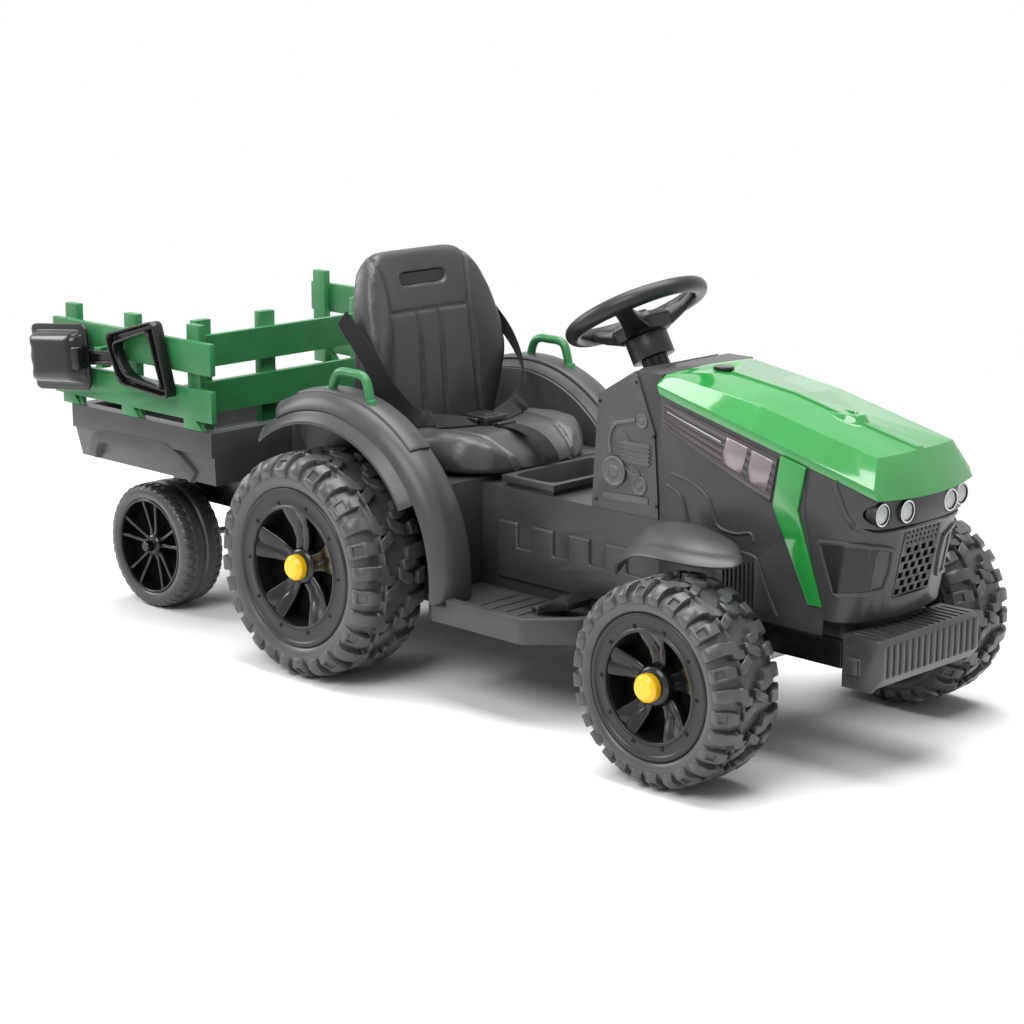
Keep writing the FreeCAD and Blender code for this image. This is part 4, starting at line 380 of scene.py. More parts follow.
def joined(name, pieces):
    """One mesh object in place of several that sit at the origin."""
    obj = gathered(name, [piece.data for piece in pieces])
    for piece in pieces:
        bpy.data.objects.remove(piece)
    return obj


def cad_copy(name, node):
    """A merged copy of a CAD node's mesh, to start a new piece from."""
    return reworked(gathered(name, [nodes[node].data]), merge_doubles(0.02))


def rounded(obj, width, angle=35, segments=2, crease=38):
    """Rounds an object's sharp edges by width millimetres and shades it by angle."""
    if width:
        bevel = obj.modifiers.new("edge_radius", "BEVEL")
        bevel.width = width * MM
        bevel.segments = segments
        bevel.limit_method = "ANGLE"
        bevel.angle_limit = math.radians(angle)
    grow(obj, crease_tree, {"Crease angle": math.radians(crease)})
    return obj


def dressed(obj, body, slot, finish=None, stands_for=()):
    """Gives a finished piece its material, the slot's finish unless another is given, and its body, and hides the nodes
    that it stands for.
    """
    obj.data.materials.clear()
    obj.data.materials.append(finish or finish_of_slot[slot])
    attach(obj, body)
    if stands_for:
        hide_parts(*stands_for)
    return obj


def finished(obj, width, body, slot, finish=None, stands_for=(), **edges):
    """Rounds a piece's edges by width millimetres, makes it plain and dresses it."""
    return dressed(settled(rounded(obj, width, **edges)), body, slot, finish, stands_for)


def bands(rows, count, closed):
    """Faces between neighbouring rows of points, where each row closes on itself."""
    faces = []
    for i in range(rows if closed else rows - 1):
        n = (i + 1) % rows
        for j in range(count):
            k = (j + 1) % count
            faces.append((i * count + j, i * count + k, n * count + k, n * count + j))
    return faces


def tube(name, rings, capped=True):
    """A mesh over rings of points that all have the same count."""
    count = len(rings[0])
    faces = bands(len(rings), count, False)
    if capped:
        faces.append(tuple(reversed(range(count))))
        faces.append(tuple((len(rings) - 1) * count + j for j in range(count)))
    return mesh_object(name, [point for ring in rings for point in ring], faces)


def skin(name, rings, capped=True):
    """A closed skin over rings of points."""
    return outward(tube(name, rings, capped))


def lathe(name, profile, centre, steps, side=1):
    """A closed profile of (radius, y) in millimetres, turned round an axle along Y."""
    verts = []
    for i in range(steps):
        turn = full_turn * i / steps
        for radius, y in profile:
            verts.append(centre + Vector((radius * math.sin(turn), side * y, radius * math.cos(turn))) * MM)
    return outward(mesh_object(name, verts, bands(steps, len(profile), True)))


def ring_array(name, shape, count, start, centre):
    """Copies of a shape round an axle, as a plain mesh in its place."""
    carrier = mesh_object(name, [], [])
    grow(carrier, ring_tree, {"Shape": shape, "Count": count, "Start angle": start, "Centre": tuple(centre),
                              "Finish": finish_of_slot["tread"]})
    settled(carrier)
    bpy.data.objects.remove(shape)
    return carrier


def wheel_sizes(wheel):
    """A wheel's middle and outer side, and its tyre radius, half width and rim radius in millimetres."""
    low, high = (Vector(v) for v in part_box(wheel + "_tyre"))
    rim_low, rim_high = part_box(wheel + "_rim")
    centre = (low + high) / 2
    side = 1 if centre.y > 0 else -1
    return centre, side, (high.z - low.z) / 2 / MM, (high.y - low.y) / 2 / MM, (rim_high[2] - rim_low[2]) / 2 / MM


def tree_of(obj):
    """Search tree over an object's mesh."""
    mesh = obj.data
    return BVHTree.FromPolygons([v.co for v in mesh.vertices], [tuple(p.vertices) for p in mesh.polygons])


def smooth_path(points, per_span):
    """Points on a smooth line through the given ones."""
    ends = [2 * points[0] - points[1]] + list(points) + [2 * points[-1] - points[-2]]
    line = []
    for i in range(1, len(ends) - 2):
        p0, p1, p2, p3 = ends[i - 1:i + 3]
        for j in range(per_span):
            t = j / per_span
            line.append(0.5 * (2 * p1 + (p2 - p0) * t + (2 * p0 - 5 * p1 + 4 * p2 - p3) * t ** 2
                               + (3 * p1 - p0 - 3 * p2 + p3) * t ** 3))
    return line + [points[-1]]


def heading(line, i):
    """Direction of a row of points at one of them."""
    return (line[min(i + 1, len(line) - 1)] - line[max(i - 1, 0)]).normalized()


def mirrored(row, hand):
    """A row of (x, y, z) on one hand of the object."""
    return [(x, hand * y, z) for x, y, z in row]


def bar_block(low, high, round_off):
    """A closed block between two corners in rear-axle millimetres, with rounded edges."""
    (x0, y0, z0), (x1, y1, z1) = low, high
    rings = [[spot(x0, y0, z), spot(x1, y0, z), spot(x1, y1, z), spot(x0, y1, z)] for z in (z0, z1)]
    return settled(rounded(skin("block", rings), round_off, segments=3))


# ---------------- tyres

# Sidewall and crown of a lugged tyre: share of the wall height above the bead, share of the half width.
carcass_shares = [(0.0, 0.90), (0.10, 0.96), (0.34, 1.0), (0.58, 0.985), (0.74, 0.93), (0.86, 0.83), (0.94, 0.68),
                  (0.985, 0.46), (1.0, 0.22), (1.0, 0.0)]
lug_height, lug_sink = 8.5, 1.5
lug_foot_share, lug_top_share = 1.08, 0.92
lugs_per_side = 14
# A lug's stations from the middle of the tread outwards: share of the way to the bead, lean and half width
# in shares of the pitch, share of the height.
long_lug = [(0.10, 0.42, 0.20, 0.94), (0.20, 0.40, 0.22, 1.0), (0.22, 0.22, 0.42, 1.0), (0.33, 0.12, 0.40, 1.0),
            (0.36, 0.04, 0.27, 1.0), (0.48, -0.02, 0.28, 1.0), (0.60, -0.04, 0.30, 0.96), (0.70, -0.04, 0.32, 0.75),
            (0.80, -0.04, 0.33, 0.15)]
short_lug = [(0.38, 0.05, 0.26, 1.0), (0.47, 0.02, 0.28, 1.0), (0.55, 0.0, 0.33, 0.98), (0.72, 0.0, 0.35, 0.74),
             (0.82, 0.0, 0.36, 0.15)]
hook_lug = [(0.0, -0.30, 0.24, 0.92), (0.08, -0.22, 0.26, 0.94), (0.17, -0.06, 0.26, 0.97), (0.28, 0.06, 0.20, 0.97)]
pit_station, pit_border, pit_draft, pit_depth = 2, 4.2, 0.4, 3.0
seam_share, seam_foot, seam_top, seam_drop = -0.36, 1.6, 0.7, 2.0
wheel_steps = 96
# Sidewall and crown of a trailer tyre, in the same shares as the lugged one's.
road_wall = [(0.0, 0.92), (0.12, 0.98), (0.40, 1.0), (0.66, 0.96), (0.82, 0.88),
             (0.88, 0.80), (0.955, 0.52), (1.0, 0.50), (1.0, 0.12), (0.86, 0.08)]
# Stations of its tread blocks: share of the half width, share of the wall height, lean.
road_block = [(0.50, 0.995, 0.35), (0.70, 0.975, 0.1), (0.86, 0.92, 0.0), (0.965, 0.70, 0.0)]
road_blocks, road_block_share, road_block_drop, road_block_top, road_block_draft = 40, 0.36, 4.0, 0.85, 0.02


def wall_path(radius, half, bead):
    """The carcass line from the middle of the tread to the bead, as (radius, y), with its running length."""
    base = radius - lug_height
    line = [(bead + (base - bead) * r, half * y) for r, y in reversed(carcass_shares)]
    lengths = [0.0]
    for (r0, y0), (r1, y1) in zip(line, line[1:]):
        lengths.append(lengths[-1] + math.hypot(r1 - r0, y1 - y0))
    return line, lengths


def on_wall(line, lengths, share):
    """Point and outward direction on the carcass line at a share of its length."""
    want = share * lengths[-1]
    for i in range(len(line) - 1):
        if want <= lengths[i + 1] or i == len(line) - 2:
            part = (want - lengths[i]) / (lengths[i + 1] - lengths[i])
            (r0, y0), (r1, y1) = line[i], line[i + 1]
            size = math.hypot(r1 - r0, y1 - y0)
            return (r0 + (r1 - r0) * part, y0 + (y1 - y0) * part), ((y1 - y0) / size, -(r1 - r0) / size)


def one_lug(stations, radius, half, bead, side, pit):
    """One tread lug, wrapped over the crown and the shoulder, at the top of a wheel at the origin."""
    line, lengths = wall_path(radius, half, bead)
    pitch = full_turn * radius / (2 * lugs_per_side)
    rings = []
    for share, lean, width, height in stations:
        (r, y), (out_r, out_y) = on_wall(line, lengths, share)
        ring = []
        for edge, rise in ((-lug_foot_share, -lug_sink), (-lug_top_share, lug_height * height),
                           (lug_top_share, lug_height * height), (lug_foot_share, -lug_sink)):
            turn = (lean + width * edge) * pitch / radius
            reach = r + out_r * rise
            ring.append(Vector((reach * math.sin(turn), side * (y + out_y * rise), reach * math.cos(turn))) * MM)
        rings.append(ring)
    lug = skin("lug", rings)

    def sink_pit(work):
        corners = [ring[k] for ring in rings[pit_station:pit_station + 2] for k in (1, 2)]
        middle = sum(corners, Vector()) / len(corners)
        face = min(work.faces, key=lambda f: (f.calc_center_median() - middle).length)
        bmesh.ops.inset_individual(work, faces=[face], thickness=pit_border * MM)
        bmesh.ops.inset_individual(work, faces=[face], thickness=pit_draft * MM, depth=-pit_depth * MM)

    return reworked(lug, sink_pit) if pit else lug


def lugged_tyre(wheel):
    """A chunky tyre: carcass with a mould seam, and long and short lugs in turn on both sides."""
    node = wheel + "_tyre"
    centre, _, radius, half, bead = wheel_sizes(wheel)
    line, _ = wall_path(radius, half, bead)
    seam_y, base = seam_share * half, radius - lug_height
    seam = [(base, seam_y + seam_foot), (radius - seam_drop, seam_y + seam_top),
            (radius - seam_drop, seam_y - seam_top), (base, seam_y - seam_foot)]
    right = [(r, -y) for r, y in line[1:]]
    before = [p for p in right if p[1] > seam_y + seam_foot]
    after = [p for p in right if p[1] < seam_y - seam_foot]
    pieces = [lathe(node + "_carcass", line[::-1] + before + seam + after, centre, wheel_steps)]
    step = math.pi / lugs_per_side
    for side, start in ((1, 0.0), (-1, step / 2)):
        for stations, shift, pit in ((long_lug, 0.0, False), (short_lug, step, True), (hook_lug, step, False)):
            lug = one_lug(stations, radius, half, bead, side, pit)
            pieces.append(ring_array(node + "_lugs", lug, lugs_per_side, start + shift, centre))
    finished(joined(wheel + "_tread", pieces), 0.9, wheel, "tread", stands_for=(node,), angle=50, segments=1, crease=42)


def road_tyre(wheel):
    """A trailer tyre: smooth wall, a groove round the middle and fine tread blocks at both shoulders."""
    node = wheel + "_tyre"
    centre, _, radius, half, bead = wheel_sizes(wheel)
    span = radius - bead
    left = [(bead + span * r, half * y) for r, y in road_wall]
    pieces = [lathe(node + "_carcass", left + [(r, -y) for r, y in reversed(left)], centre, wheel_steps)]
    thick = full_turn * radius / road_blocks * road_block_share
    for side, start in ((1, 0.0), (-1, math.pi / road_blocks)):
        rings = []
        for y, r, lean in road_block:
            ring = []
            for edge, drop in ((-1, road_block_drop), (-road_block_top, 0.0),
                               (road_block_top, 0.0), (1, road_block_drop)):
                turn = (edge + lean * 2) * thick / radius
                reach = bead + span * r - drop
                out = side * half * (y - road_block_draft * drop / road_block_drop)
                ring.append(Vector((reach * math.sin(turn), out, reach * math.cos(turn))) * MM)
            rings.append(ring)
        pieces.append(ring_array(node + "_blocks", skin("block", rings), road_blocks, start, centre))
    finished(joined(wheel + "_tread", pieces), 0.5, wheel, "tread", stands_for=(node,), angle=50, segments=1, crease=42)


for wheel in tractor_wheels:
    lugged_tyre(wheel)
for wheel in trailer_wheels:
    road_tyre(wheel)


# ---------------- seat

pad_voxel, pad_slack = 5.0, 2.0
cloth_steps, facing_least = 20, 0.2
back_hold, back_edge, cushion_hold = 14, 45, 6


def smoothing(obj, name, rounds):
    ease = obj.modifiers.new(name, "SMOOTH")
    ease.factor = 0.5
    ease.iterations = rounds


def stuffed(name, node, cap, resting):
    """A padded form over a CAD solid: an even skin, blown up a little by its foam and held where it rests."""
    obj = cad_copy(name, node)
    even = obj.modifiers.new("even_skin", "REMESH")
    even.mode = "VOXEL"
    even.voxel_size = pad_voxel * MM
    smoothing(obj, "ease", rounds=14)
    settled(obj)
    normals = [v.normal.copy() for v in obj.data.vertices]
    for v, normal in zip(obj.data.vertices, normals):
        v.co -= normal * pad_slack * MM
    start = [v.co.copy() for v in obj.data.vertices]
    held = obj.vertex_groups.new(name="held")
    held.add([v.index for v in obj.data.vertices if resting(v.co)], 1.0, "REPLACE")
    foam = obj.modifiers.new("foam", "CLOTH").settings
    foam.quality = 4
    foam.tension_stiffness = foam.compression_stiffness = 25
    foam.use_pressure = True
    foam.uniform_pressure_force = 4.0
    foam.effector_weights.gravity = 0.0
    foam.vertex_group_mass = "held"
    for step in range(1, cloth_steps + 1):
        scene.frame_set(step)
    settled(obj)
    scene.frame_set(1)
    for v, old in zip(obj.data.vertices, start):
        move = v.co - old
        if move.length > cap * MM:
            v.co = old + move * (cap * MM / move.length)
    smoothing(obj, "calm", rounds=18)
    settled(obj)
    fine = obj.modifiers.new("fine_skin", "SUBSURF")
    fine.levels = fine.render_levels = 1
    settled(obj)
    for face in obj.data.polygons:
        face.use_smooth = True
    return obj


def nearness(a, b, line):
    """Least distance from a point to a row of points in one plane."""
    best = math.inf
    for (a0, b0), (a1, b1) in zip(line, line[1:]):
        da, db = a1 - a0, b1 - b0
        part = max(0.0, min(1.0, ((a - a0) * da + (b - b0) * db) / (da * da + db * db)))
        best = min(best, math.hypot(a - a0 - part * da, b - b0 - part * db))
    return best


def pressed(obj, lines, depth, width, flat, facing):
    """Sinks sewn lines, in millimetres on the plane that flat gives, into a pad's side that faces one way."""
    moves = []
    for v in obj.data.vertices:
        if v.normal.dot(facing) > facing_least:
            a, b = flat(v.co)
            near = min(nearness(a, b, line) for line in lines)
            if near < 3 * width:
                moves.append((v.index, v.normal * depth * MM * math.exp(-(near / width) ** 2)))
    for index, move in moves:
        obj.data.vertices[index].co -= move


deck_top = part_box("seat_cushion")[0][2]
seat_back = stuffed("seat_back_pad", "seat_back", 4.0,
                    lambda co: co.z < deck_top + back_hold * MM or co.x < rear_x - back_edge * MM)
front = Vector((0.95, 0.0, 0.31))
back_lines = [[(h * 19.5, 268), (h * 19.5, 447)] for h in hands] + [[(-70, 447), (70, 447)]]
back_lines += [[(h * 82, 268), (h * 76, 340), (h * 70, 447), (h * 74, 490), (h * 82, 524)] for h in hands]
pressed(seat_back, back_lines, depth=3.2, width=2.6, flat=lambda co: (co.y / MM, co.z / MM), facing=front)

# The headrest's handhold: a sunk oblong, with a plate on its floor.
hold_half, hold_z, hold_reach, hold_draft, hold_depth = 33, 488, 9.5, 2.5, 4.0
plate_end, plate_steps, plate_back, plate_front, plate_ahead = 7.4, 32, 3.0, 0.6, 200
for v in seat_back.data.vertices:
    if v.normal.dot(front) > facing_least:
        near = nearness(v.co.y / MM, v.co.z / MM, [(-hold_half, hold_z), (hold_half, hold_z)])
        if near < hold_reach:
            v.co -= v.normal * MM * hold_depth * min(1.0, (hold_reach - near) / hold_draft)
seat_cushion = stuffed("seat_cushion_pad", "seat_cushion", 5.0, lambda co: co.z < deck_top + cushion_hold * MM)
cushion_lines = [[(202, h * 44), (184, h * 54), (150, h * 64), (100, h * 74), (40, h * 82), (4, h * 86)] for h in hands]
pressed(seat_cushion, cushion_lines, depth=3.4, width=2.8,
        flat=lambda co: ((co.x - rear_x) / MM, co.y / MM), facing=Vector((0.45, 0.0, 0.89)))
back_tree, cushion_tree = tree_of(seat_back), tree_of(seat_cushion)
for pad, node in ((seat_back, "seat_back"), (seat_cushion, "seat_cushion")):
    dressed(pad, "tractor", "seat_skin", stands_for=(node,))

rows = [[], []]
for i in range(plate_steps):
    turn = full_turn * i / plate_steps
    y = (hold_half if math.cos(turn) > 0 else -hold_half) + plate_end * math.cos(turn)
    start = spot(plate_ahead, y, hold_z + plate_end * math.sin(turn))
    place = back_tree.ray_cast(start, Vector((-1, 0, 0)))[0]
    rows[0].append(place - Vector((plate_back * MM, 0, 0)))
    rows[1].append(place + Vector((plate_front * MM, 0, 0)))
finished(skin("headrest_handhold", rows), 0.4, "tractor", "black_satin")


# ---------------- harness

strap_width, strap_thick, strap_gap, strap_lift, strap_steps = 26, 2.0, 0.5, 6, 14
strap_section = [(-0.5, 0.5), (-0.46, 1.0), (0.46, 1.0), (0.5, 0.5), (0.46, 0.0), (-0.46, 0.0)]


def strap(points, lifts, rests):
    """Flat webbing along a smooth path, kept clear of the pads, with its length and width in its UV map."""
    line = smooth_path([spot(*p) for p in points], strap_steps)
    faces_up = smooth_path([Vector(p) for p in lifts], strap_steps)
    rings, places, run = [], [], 0.0
    for i, point in enumerate(line):
        along = heading(line, i)
        side = faces_up[i].cross(along).normalized()
        up = along.cross(side).normalized()
        lift = 0.0
        for share in (-0.5, 0.0, 0.5):
            edge = point + side * share * strap_width * MM
            for tree in rests:
                near, out = tree.find_nearest(edge)[:2]
                gap = (edge - near).dot(out)
                if gap < strap_gap * MM and up.dot(out) > facing_least:
                    lift = max(lift, min(strap_lift * MM, (strap_gap * MM - gap) / up.dot(out)))
        point = point + up * lift
        run += (line[i] - line[max(i - 1, 0)]).length
        rings.append([point + side * a * strap_width * MM + up * b * strap_thick * MM for a, b in strap_section])
        places += [(run, a * strap_width * MM) for a, _ in strap_section]
    obj = reworked(tube("strap", rings), turn_out)
    chart = obj.data.uv_layers.new(name="length_and_width")
    for loop in obj.data.loops:
        chart.data[loop.index].uv = places[loop.vertex_index]
    return settled(rounded(obj, 0))


straps = []
for h in hands:
    path = [(-52, h * 126, 446), (0, h * 128, 400), (32, h * 122, 356), (56, h * 92, 322), (84, h * 22, 312)]
    lifts = [(0, h, 0), (1, 2 * h, 0), (1.2, 1.2 * h, 0.2), (0.8, 0.5 * h, 0.8), (0.2, 0.1 * h, 1)]
    straps.append(strap(path, lifts, (back_tree, cushion_tree)))
straps.append(strap([(104, 0, 310), (150, 0, 309), (180, 0, 300), (199, 0, 284), (203, 0, 272)],
                    [(0, 0, 1), (0.2, 0, 1), (0.7, 0, 1), (1, 0, 0.5), (1, 0, 0.1)], (cushion_tree,)))
dressed(joined("harness_webbing", straps), "tractor", "webbing", stands_for=("harness",))

low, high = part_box("harness_buckle")
bx, bz = ((low[0] + high[0]) / 2 - rear_x) / MM, high[2] / MM
clip = [bar_block((bx - 12, -11, bz - 3), (bx + 12, 11, bz + 1.5), 1.4)]
clip += [bar_block((bx - 9, h * 20, bz - 9), (bx + 9, h * 27, bz - 2), 1.6) for h in hands]
clip += [bar_block((bx + 30, -16, bz - 11), (bx + 40, 16, bz - 5), 1.6)]
dressed(joined("buckle_tongues", clip), "tractor", "black_satin")


# ---------------- steering wheel

column_rake, column_top = 29.5, (344, 0, 483.4)
tilt = math.radians(column_rake)
lean = Matrix(((math.cos(tilt), 0, -math.sin(tilt)), (0, 1, 0), (math.sin(tilt), 0, math.cos(tilt)))).to_4x4()
on_column = Matrix.Translation(spot(*column_top)) @ lean
grip_radius, grip_tube, grip_swell, grip_tall = 82, 10.2, 0.05, 1.04
ring_steps, tube_steps = 84, 16
# Stations of a spoke: reach, low and high edge, half width. Stations of the hub: height, half length, half width.
spoke_stations = ((20, -33, -10, 19), (34, -30, -9, 16), (56, -20, -5, 11.5), (70, -11, 2, 11), (80, -6, 6, 12))
spoke_crown_share, hub_corner = 0.72, 9
hub_stations = ((-34, 27, 22), (-31, 31, 26), (-16, 34, 28), (-9, 30, 24))

rings = []
for i in range(ring_steps):
    turn = full_turn * i / ring_steps
    reach = grip_tube * (1 + grip_swell * math.cos(3 * turn - math.pi))
    ring = []
    for j in range(tube_steps):
        b = full_turn * j / tube_steps
        out = grip_radius + reach * math.cos(b)
        place = Vector((out * math.cos(turn), out * math.sin(turn), reach * grip_tall * math.sin(b)))
        ring.append(on_column @ (place * MM))
    rings.append(ring)
pieces = [skin("ring", rings + [rings[0]], capped=False)]
for degrees in (60, 180, 300):
    turn = Matrix.Rotation(math.radians(degrees), 4, "Z")
    rings = []
    for reach, low, high, half in spoke_stations:
        mid, crown = (low + high) / 2, half * spoke_crown_share
        rings.append([on_column @ turn @ (Vector((reach, y, z)) * MM) for y, z in (
            (-half, low), (half, low), (half, mid), (crown, high), (-crown, high), (-half, mid))])
    pieces.append(skin("spoke", rings))
rings = []
for z, long, short in hub_stations:
    long_in, short_in = long - hub_corner, short - hub_corner
    rings.append([on_column @ (Vector((x, y, z)) * MM) for x, y in (
        (long, -short_in), (long, short_in), (long_in, short), (-long_in, short),
        (-long, short_in), (-long, -short_in), (-long_in, -short), (long_in, -short))])
pieces.append(skin("hub", rings))
finished(joined("steering_wheel_rim_and_hub", pieces), 1.6, "steering", "black_satin", stands_for=("steering_wheel",),
         angle=30, segments=3)


# ---------------- rims

rim_screw_count, rim_screw_reach, rim_screw_radius, rim_screw_sink = 10, 0.82, 2.8, 5.2
spoke_count, paddle_turn, paddle_thick, paddle_groove, paddle_rim = 5, 216, 9, 2.6, 104
lip_sink, opening_share, dish_depth, trailer_eye = 3, 0.735, 36, 14.4


def screw_head(radius, side, place=Vector()):
    """A pan head with a driver recess, facing along Y."""
    profile = [(0, -1.2), (1.0, -1.2), (1.0, 0.12), (0.8, 0.5), (0.42, 0.62), (0.36, 0.1), (0, 0.1)]
    return lathe("screw_head", [(r * radius, y * radius) for r, y in profile], place, steps=14, side=side)


def rim_screws(wheel):
    """Small screws round the broad ring of a rim."""
    centre, side, _, face, rim = wheel_sizes(wheel)
    place = Vector((0, side * (face - rim_screw_sink), rim * rim_screw_reach)) * MM
    head = screw_head(rim_screw_radius, side, place)
    screws = ring_array(wheel + "_rim_screws", head, rim_screw_count, math.pi / rim_screw_count, centre)
    finished(screws, 0, wheel, "black_satin")


def radial_bar(side, face, stations, groove=0.0):
    """One bar out from the hub: stations of radius, depth below the face, half width, thickness and sideways shift."""
    rings = []
    for reach, depth, half, thick, shift in stations:
        edge = min(2.0, half * 0.4)
        mid = [(half * 0.3, 0.0), (0.0, groove), (-half * 0.3, 0.0)] if groove else []
        outline = [(-half, thick), (half, thick), (half, edge), (half - edge, 0.0)] + mid
        outline += [(edge - half, 0.0), (-half, edge)]
        rings.append([Vector((shift + x, side * (face - depth - y), reach)) * MM for x, y in outline])
    return skin("bar", rings)


def tractor_rim(wheel):
    """A broad screwed ring round a deep dish, with five grooved paddle spokes and a hub behind the cap."""
    centre, side, _, face, rim = wheel_sizes(wheel)
    low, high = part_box(wheel + "_cap")
    hub = min(abs(low[1]), abs(high[1])) / MM - abs(centre.y) / MM
    wider = rim / paddle_rim
    top, opening, floor = face - lip_sink, rim * opening_share, face - dish_depth
    ring = [(rim - 4, -face + 3), (rim, -face + 3), (rim, top - 2), (rim - 2, top), (rim - 6, top),
            (rim - 8, top - 2.2), (opening + 5, top - 2.2), (opening + 3, top), (opening, top - 1),
            (opening - 3, floor + 2), (14, floor), (14, floor - 4), (opening + 2, floor - 3), (opening + 6, top - 8),
            (rim - 4, top - 8)]
    finished(lathe(wheel + "_ring", ring, centre, wheel_steps, side), 0.7, wheel, "black_satin",
             stands_for=(wheel + "_rim",), angle=30)
    # A thin near-black sheet on the dish floor: painted shade behind the spokes.
    shade_liner = [(15, floor + 0.2), (opening - 3.2, floor + 2.2), (opening - 0.8, top - 6), (opening - 1.6, top - 6),
            (opening - 4.4, floor + 4), (15, floor + 2)]
    finished(lathe(wheel + "_core", shade_liner, centre, steps=64, side=side), 0, wheel, "black_satin", painted_shade_black)
    stations = ((20, 19, 11.5), (rim * 0.32, 21, 12.5), (rim * 0.46, 18, 16), (rim * 0.60, 11, 20),
                (opening + 1, 5.6, 24))
    stations = [(reach, depth, half * wider, paddle_thick, 0) for reach, depth, half in stations]
    paddles = ring_array("paddles", radial_bar(side, face, stations, paddle_groove), spoke_count,
                         math.radians(paddle_turn), centre)
    boss = [(5.6, floor - 2), (25, floor - 2), (25, hub - 7), (22.5, hub - 2.5), (19, hub - 0.2), (5.6, hub - 0.2)]
    pieces = [paddles, lathe("boss", boss, centre, steps=48, side=side)]
    finished(joined(wheel + "_paddle_spokes", pieces), 1.0, wheel, "black_gloss", angle=30)


def trailer_rim(wheel):
    """A shallow dish with ten slim spokes in five pairs, and a small bolted hub that covers the axle's end."""
    centre, side, _, face, rim = wheel_sizes(wheel)
    dish = [(rim, -face + 4), (rim, face - 2.5), (rim - 1.5, face - 1.2), (rim - 4.0, face - 2.0),
            (rim - 5.0, face - 6.0), (rim - 7.0, face - 26), (trailer_eye, face - 30), (trailer_eye, face - 34),
            (rim - 9, face - 32), (rim - 9, -face + 4)]
    hub = [(5.6, face - 34), (15, face - 34), (15, face - 10), (12.5, face - 7), (8.0, face - 7), (7.5, face + 3.4),
           (6.0, face + 4.6), (0, face + 4.6), (0, face + 3.4), (5.6, face + 3.4)]
    pieces = [lathe("dish", dish, centre, steps=64, side=side), lathe("hub", hub, centre, steps=40, side=side)]
    stations = ((11, 10, 3.6, 9, 3.2), (22, 11, 2.6, 9, 5.0), (rim * 0.62, 8, 2.4, 8, 9.0),
                (rim - 4.5, 4, 3.0, 8, 13.5))
    pair = joined("pair", [radial_bar(side, face, [row[:4] + (h * row[4],) for row in stations]) for h in hands])
    pieces.append(ring_array("spokes", pair, spoke_count, 0.0, centre))
    bolt = screw_head(1.8, side, Vector((0, side * (face - 7), 10.4)) * MM)
    pieces.append(ring_array("bolts", bolt, spoke_count, math.pi / spoke_count, centre))
    # A thin near-black sheet on the dish floor: painted shade behind the spokes.
    shade_liner = [(trailer_eye, face - 29.6), (rim - 7.4, face - 25.6), (rim - 7.4, face - 24), (trailer_eye, face - 28)]
    finished(lathe(wheel + "_core", shade_liner, centre, steps=48, side=side), 0, wheel, "black_satin", painted_shade_black)
    finished(joined(wheel + "_spoked_rim", pieces), 0.5, wheel, "black_gloss", stands_for=(wheel + "_rim",),
             angle=40, segments=1)


for wheel in tractor_wheels:
    rim_screws(wheel)
    tractor_rim(wheel)
for wheel in trailer_wheels:
    trailer_rim(wheel)


# ---------------- raised work on the flanks

# Where a line towards a flank starts, in millimetres from the middle plane.
beside = 400


def flank_hit(tree, x, z, side):
    """Where a line from beside the object meets a surface."""
    return tree.ray_cast(spot(x, side * beside, z), Vector((0, -side, 0)))[0]


def raised_plate(tree, outline, side, height, draft=0.8, sink=0.6):
    """A plate with drafted edges that stands on a flank."""
    middle_x = sum(x for x, _ in outline) / len(outline)
    middle_z = sum(z for _, z in outline) / len(outline)
    foot, top = [], []
    for x, z in outline:
        place = flank_hit(tree, x, z, side)
        size = math.hypot(middle_x - x, middle_z - z)
        foot.append(place - Vector((0, side * sink * MM, 0)))
        top.append(place + Vector(((middle_x - x) / size * draft, side * height, (middle_z - z) / size * draft)) * MM)
    return skin("plate", [foot, top])


def ridge(places, alongs, outs, width, height, sink, top):
    """A low ridge with a flat top, over places that each have a direction along and one outwards."""
    section = ((-0.5, -sink), (-top, height), (top, height), (0.5, -sink))
    rings = []
    for place, along, out in zip(places, alongs, outs):
        across = along.cross(out)
        rings.append([place + across * a * width * MM + out * b * MM for a, b in section])
    return skin("ridge", rings)


def raised_line(tree, points, side, width, height, sink=0.6):
    """A low ridge along a row of points on a flank."""
    line = smooth_path([Vector((x, 0, z)) for x, z in points], per_span=6)
    places = [flank_hit(tree, p.x, p.z, side) for p in line]
    alongs = [heading(line, i) for i in range(len(line))]
    return ridge(places, alongs, [Vector((0, side, 0))] * len(line), width, height, sink, top=0.3)


def draped_line(tree, points, width, height, sink=0.8):
    """A low ridge along a row of points that wraps round a curved surface."""
    line = [tree.find_nearest(p)[:2] for p in smooth_path([spot(*p) for p in points], per_span=8)]
    places, normals = [place for place, _ in line], [out for _, out in line]
    alongs = [heading(places, i) for i in range(len(line))]
    last = len(line) - 1
    outs = [(normals[i] + normals[min(i + 1, last)] + normals[max(i - 1, 0)]).normalized() for i in range(len(line))]
    return ridge(places, alongs, outs, width, height, sink, top=0.32)


def draped_patch(tree, top, low, lift, steps=8):
    """A thin skin that lies on a curved surface between two rows of points."""
    rows = [smooth_path([spot(*p) for p in row], per_span=6) for row in (top, low)]
    rings = []
    for a, b in zip(*rows):
        places = [tree.find_nearest(a.lerp(b, i / steps))[:2] for i in range(steps + 1)]
        over = [p + out * lift * MM for p, out in places]
        rings.append(over + [p - out * lift * MM for p, out in reversed(places)])
    return skin("patch", rings)


def ring_boss(tree, x, z, side, radius, height):
    """A turned boss on a flank, with a rim and a sunk face."""
    shares = ((0.94, 1.0), (0.8, 1.0), (0.74, 0.55), (0.42, 0.55), (0.36, 1.15), (0, 1.15))
    profile = [(0, -0.6), (radius, -0.6), (radius, height * 0.6)] + [(radius * r, height * h) for r, h in shares]
    return lathe("boss", profile, flank_hit(tree, x, z, side), steps=40, side=side)


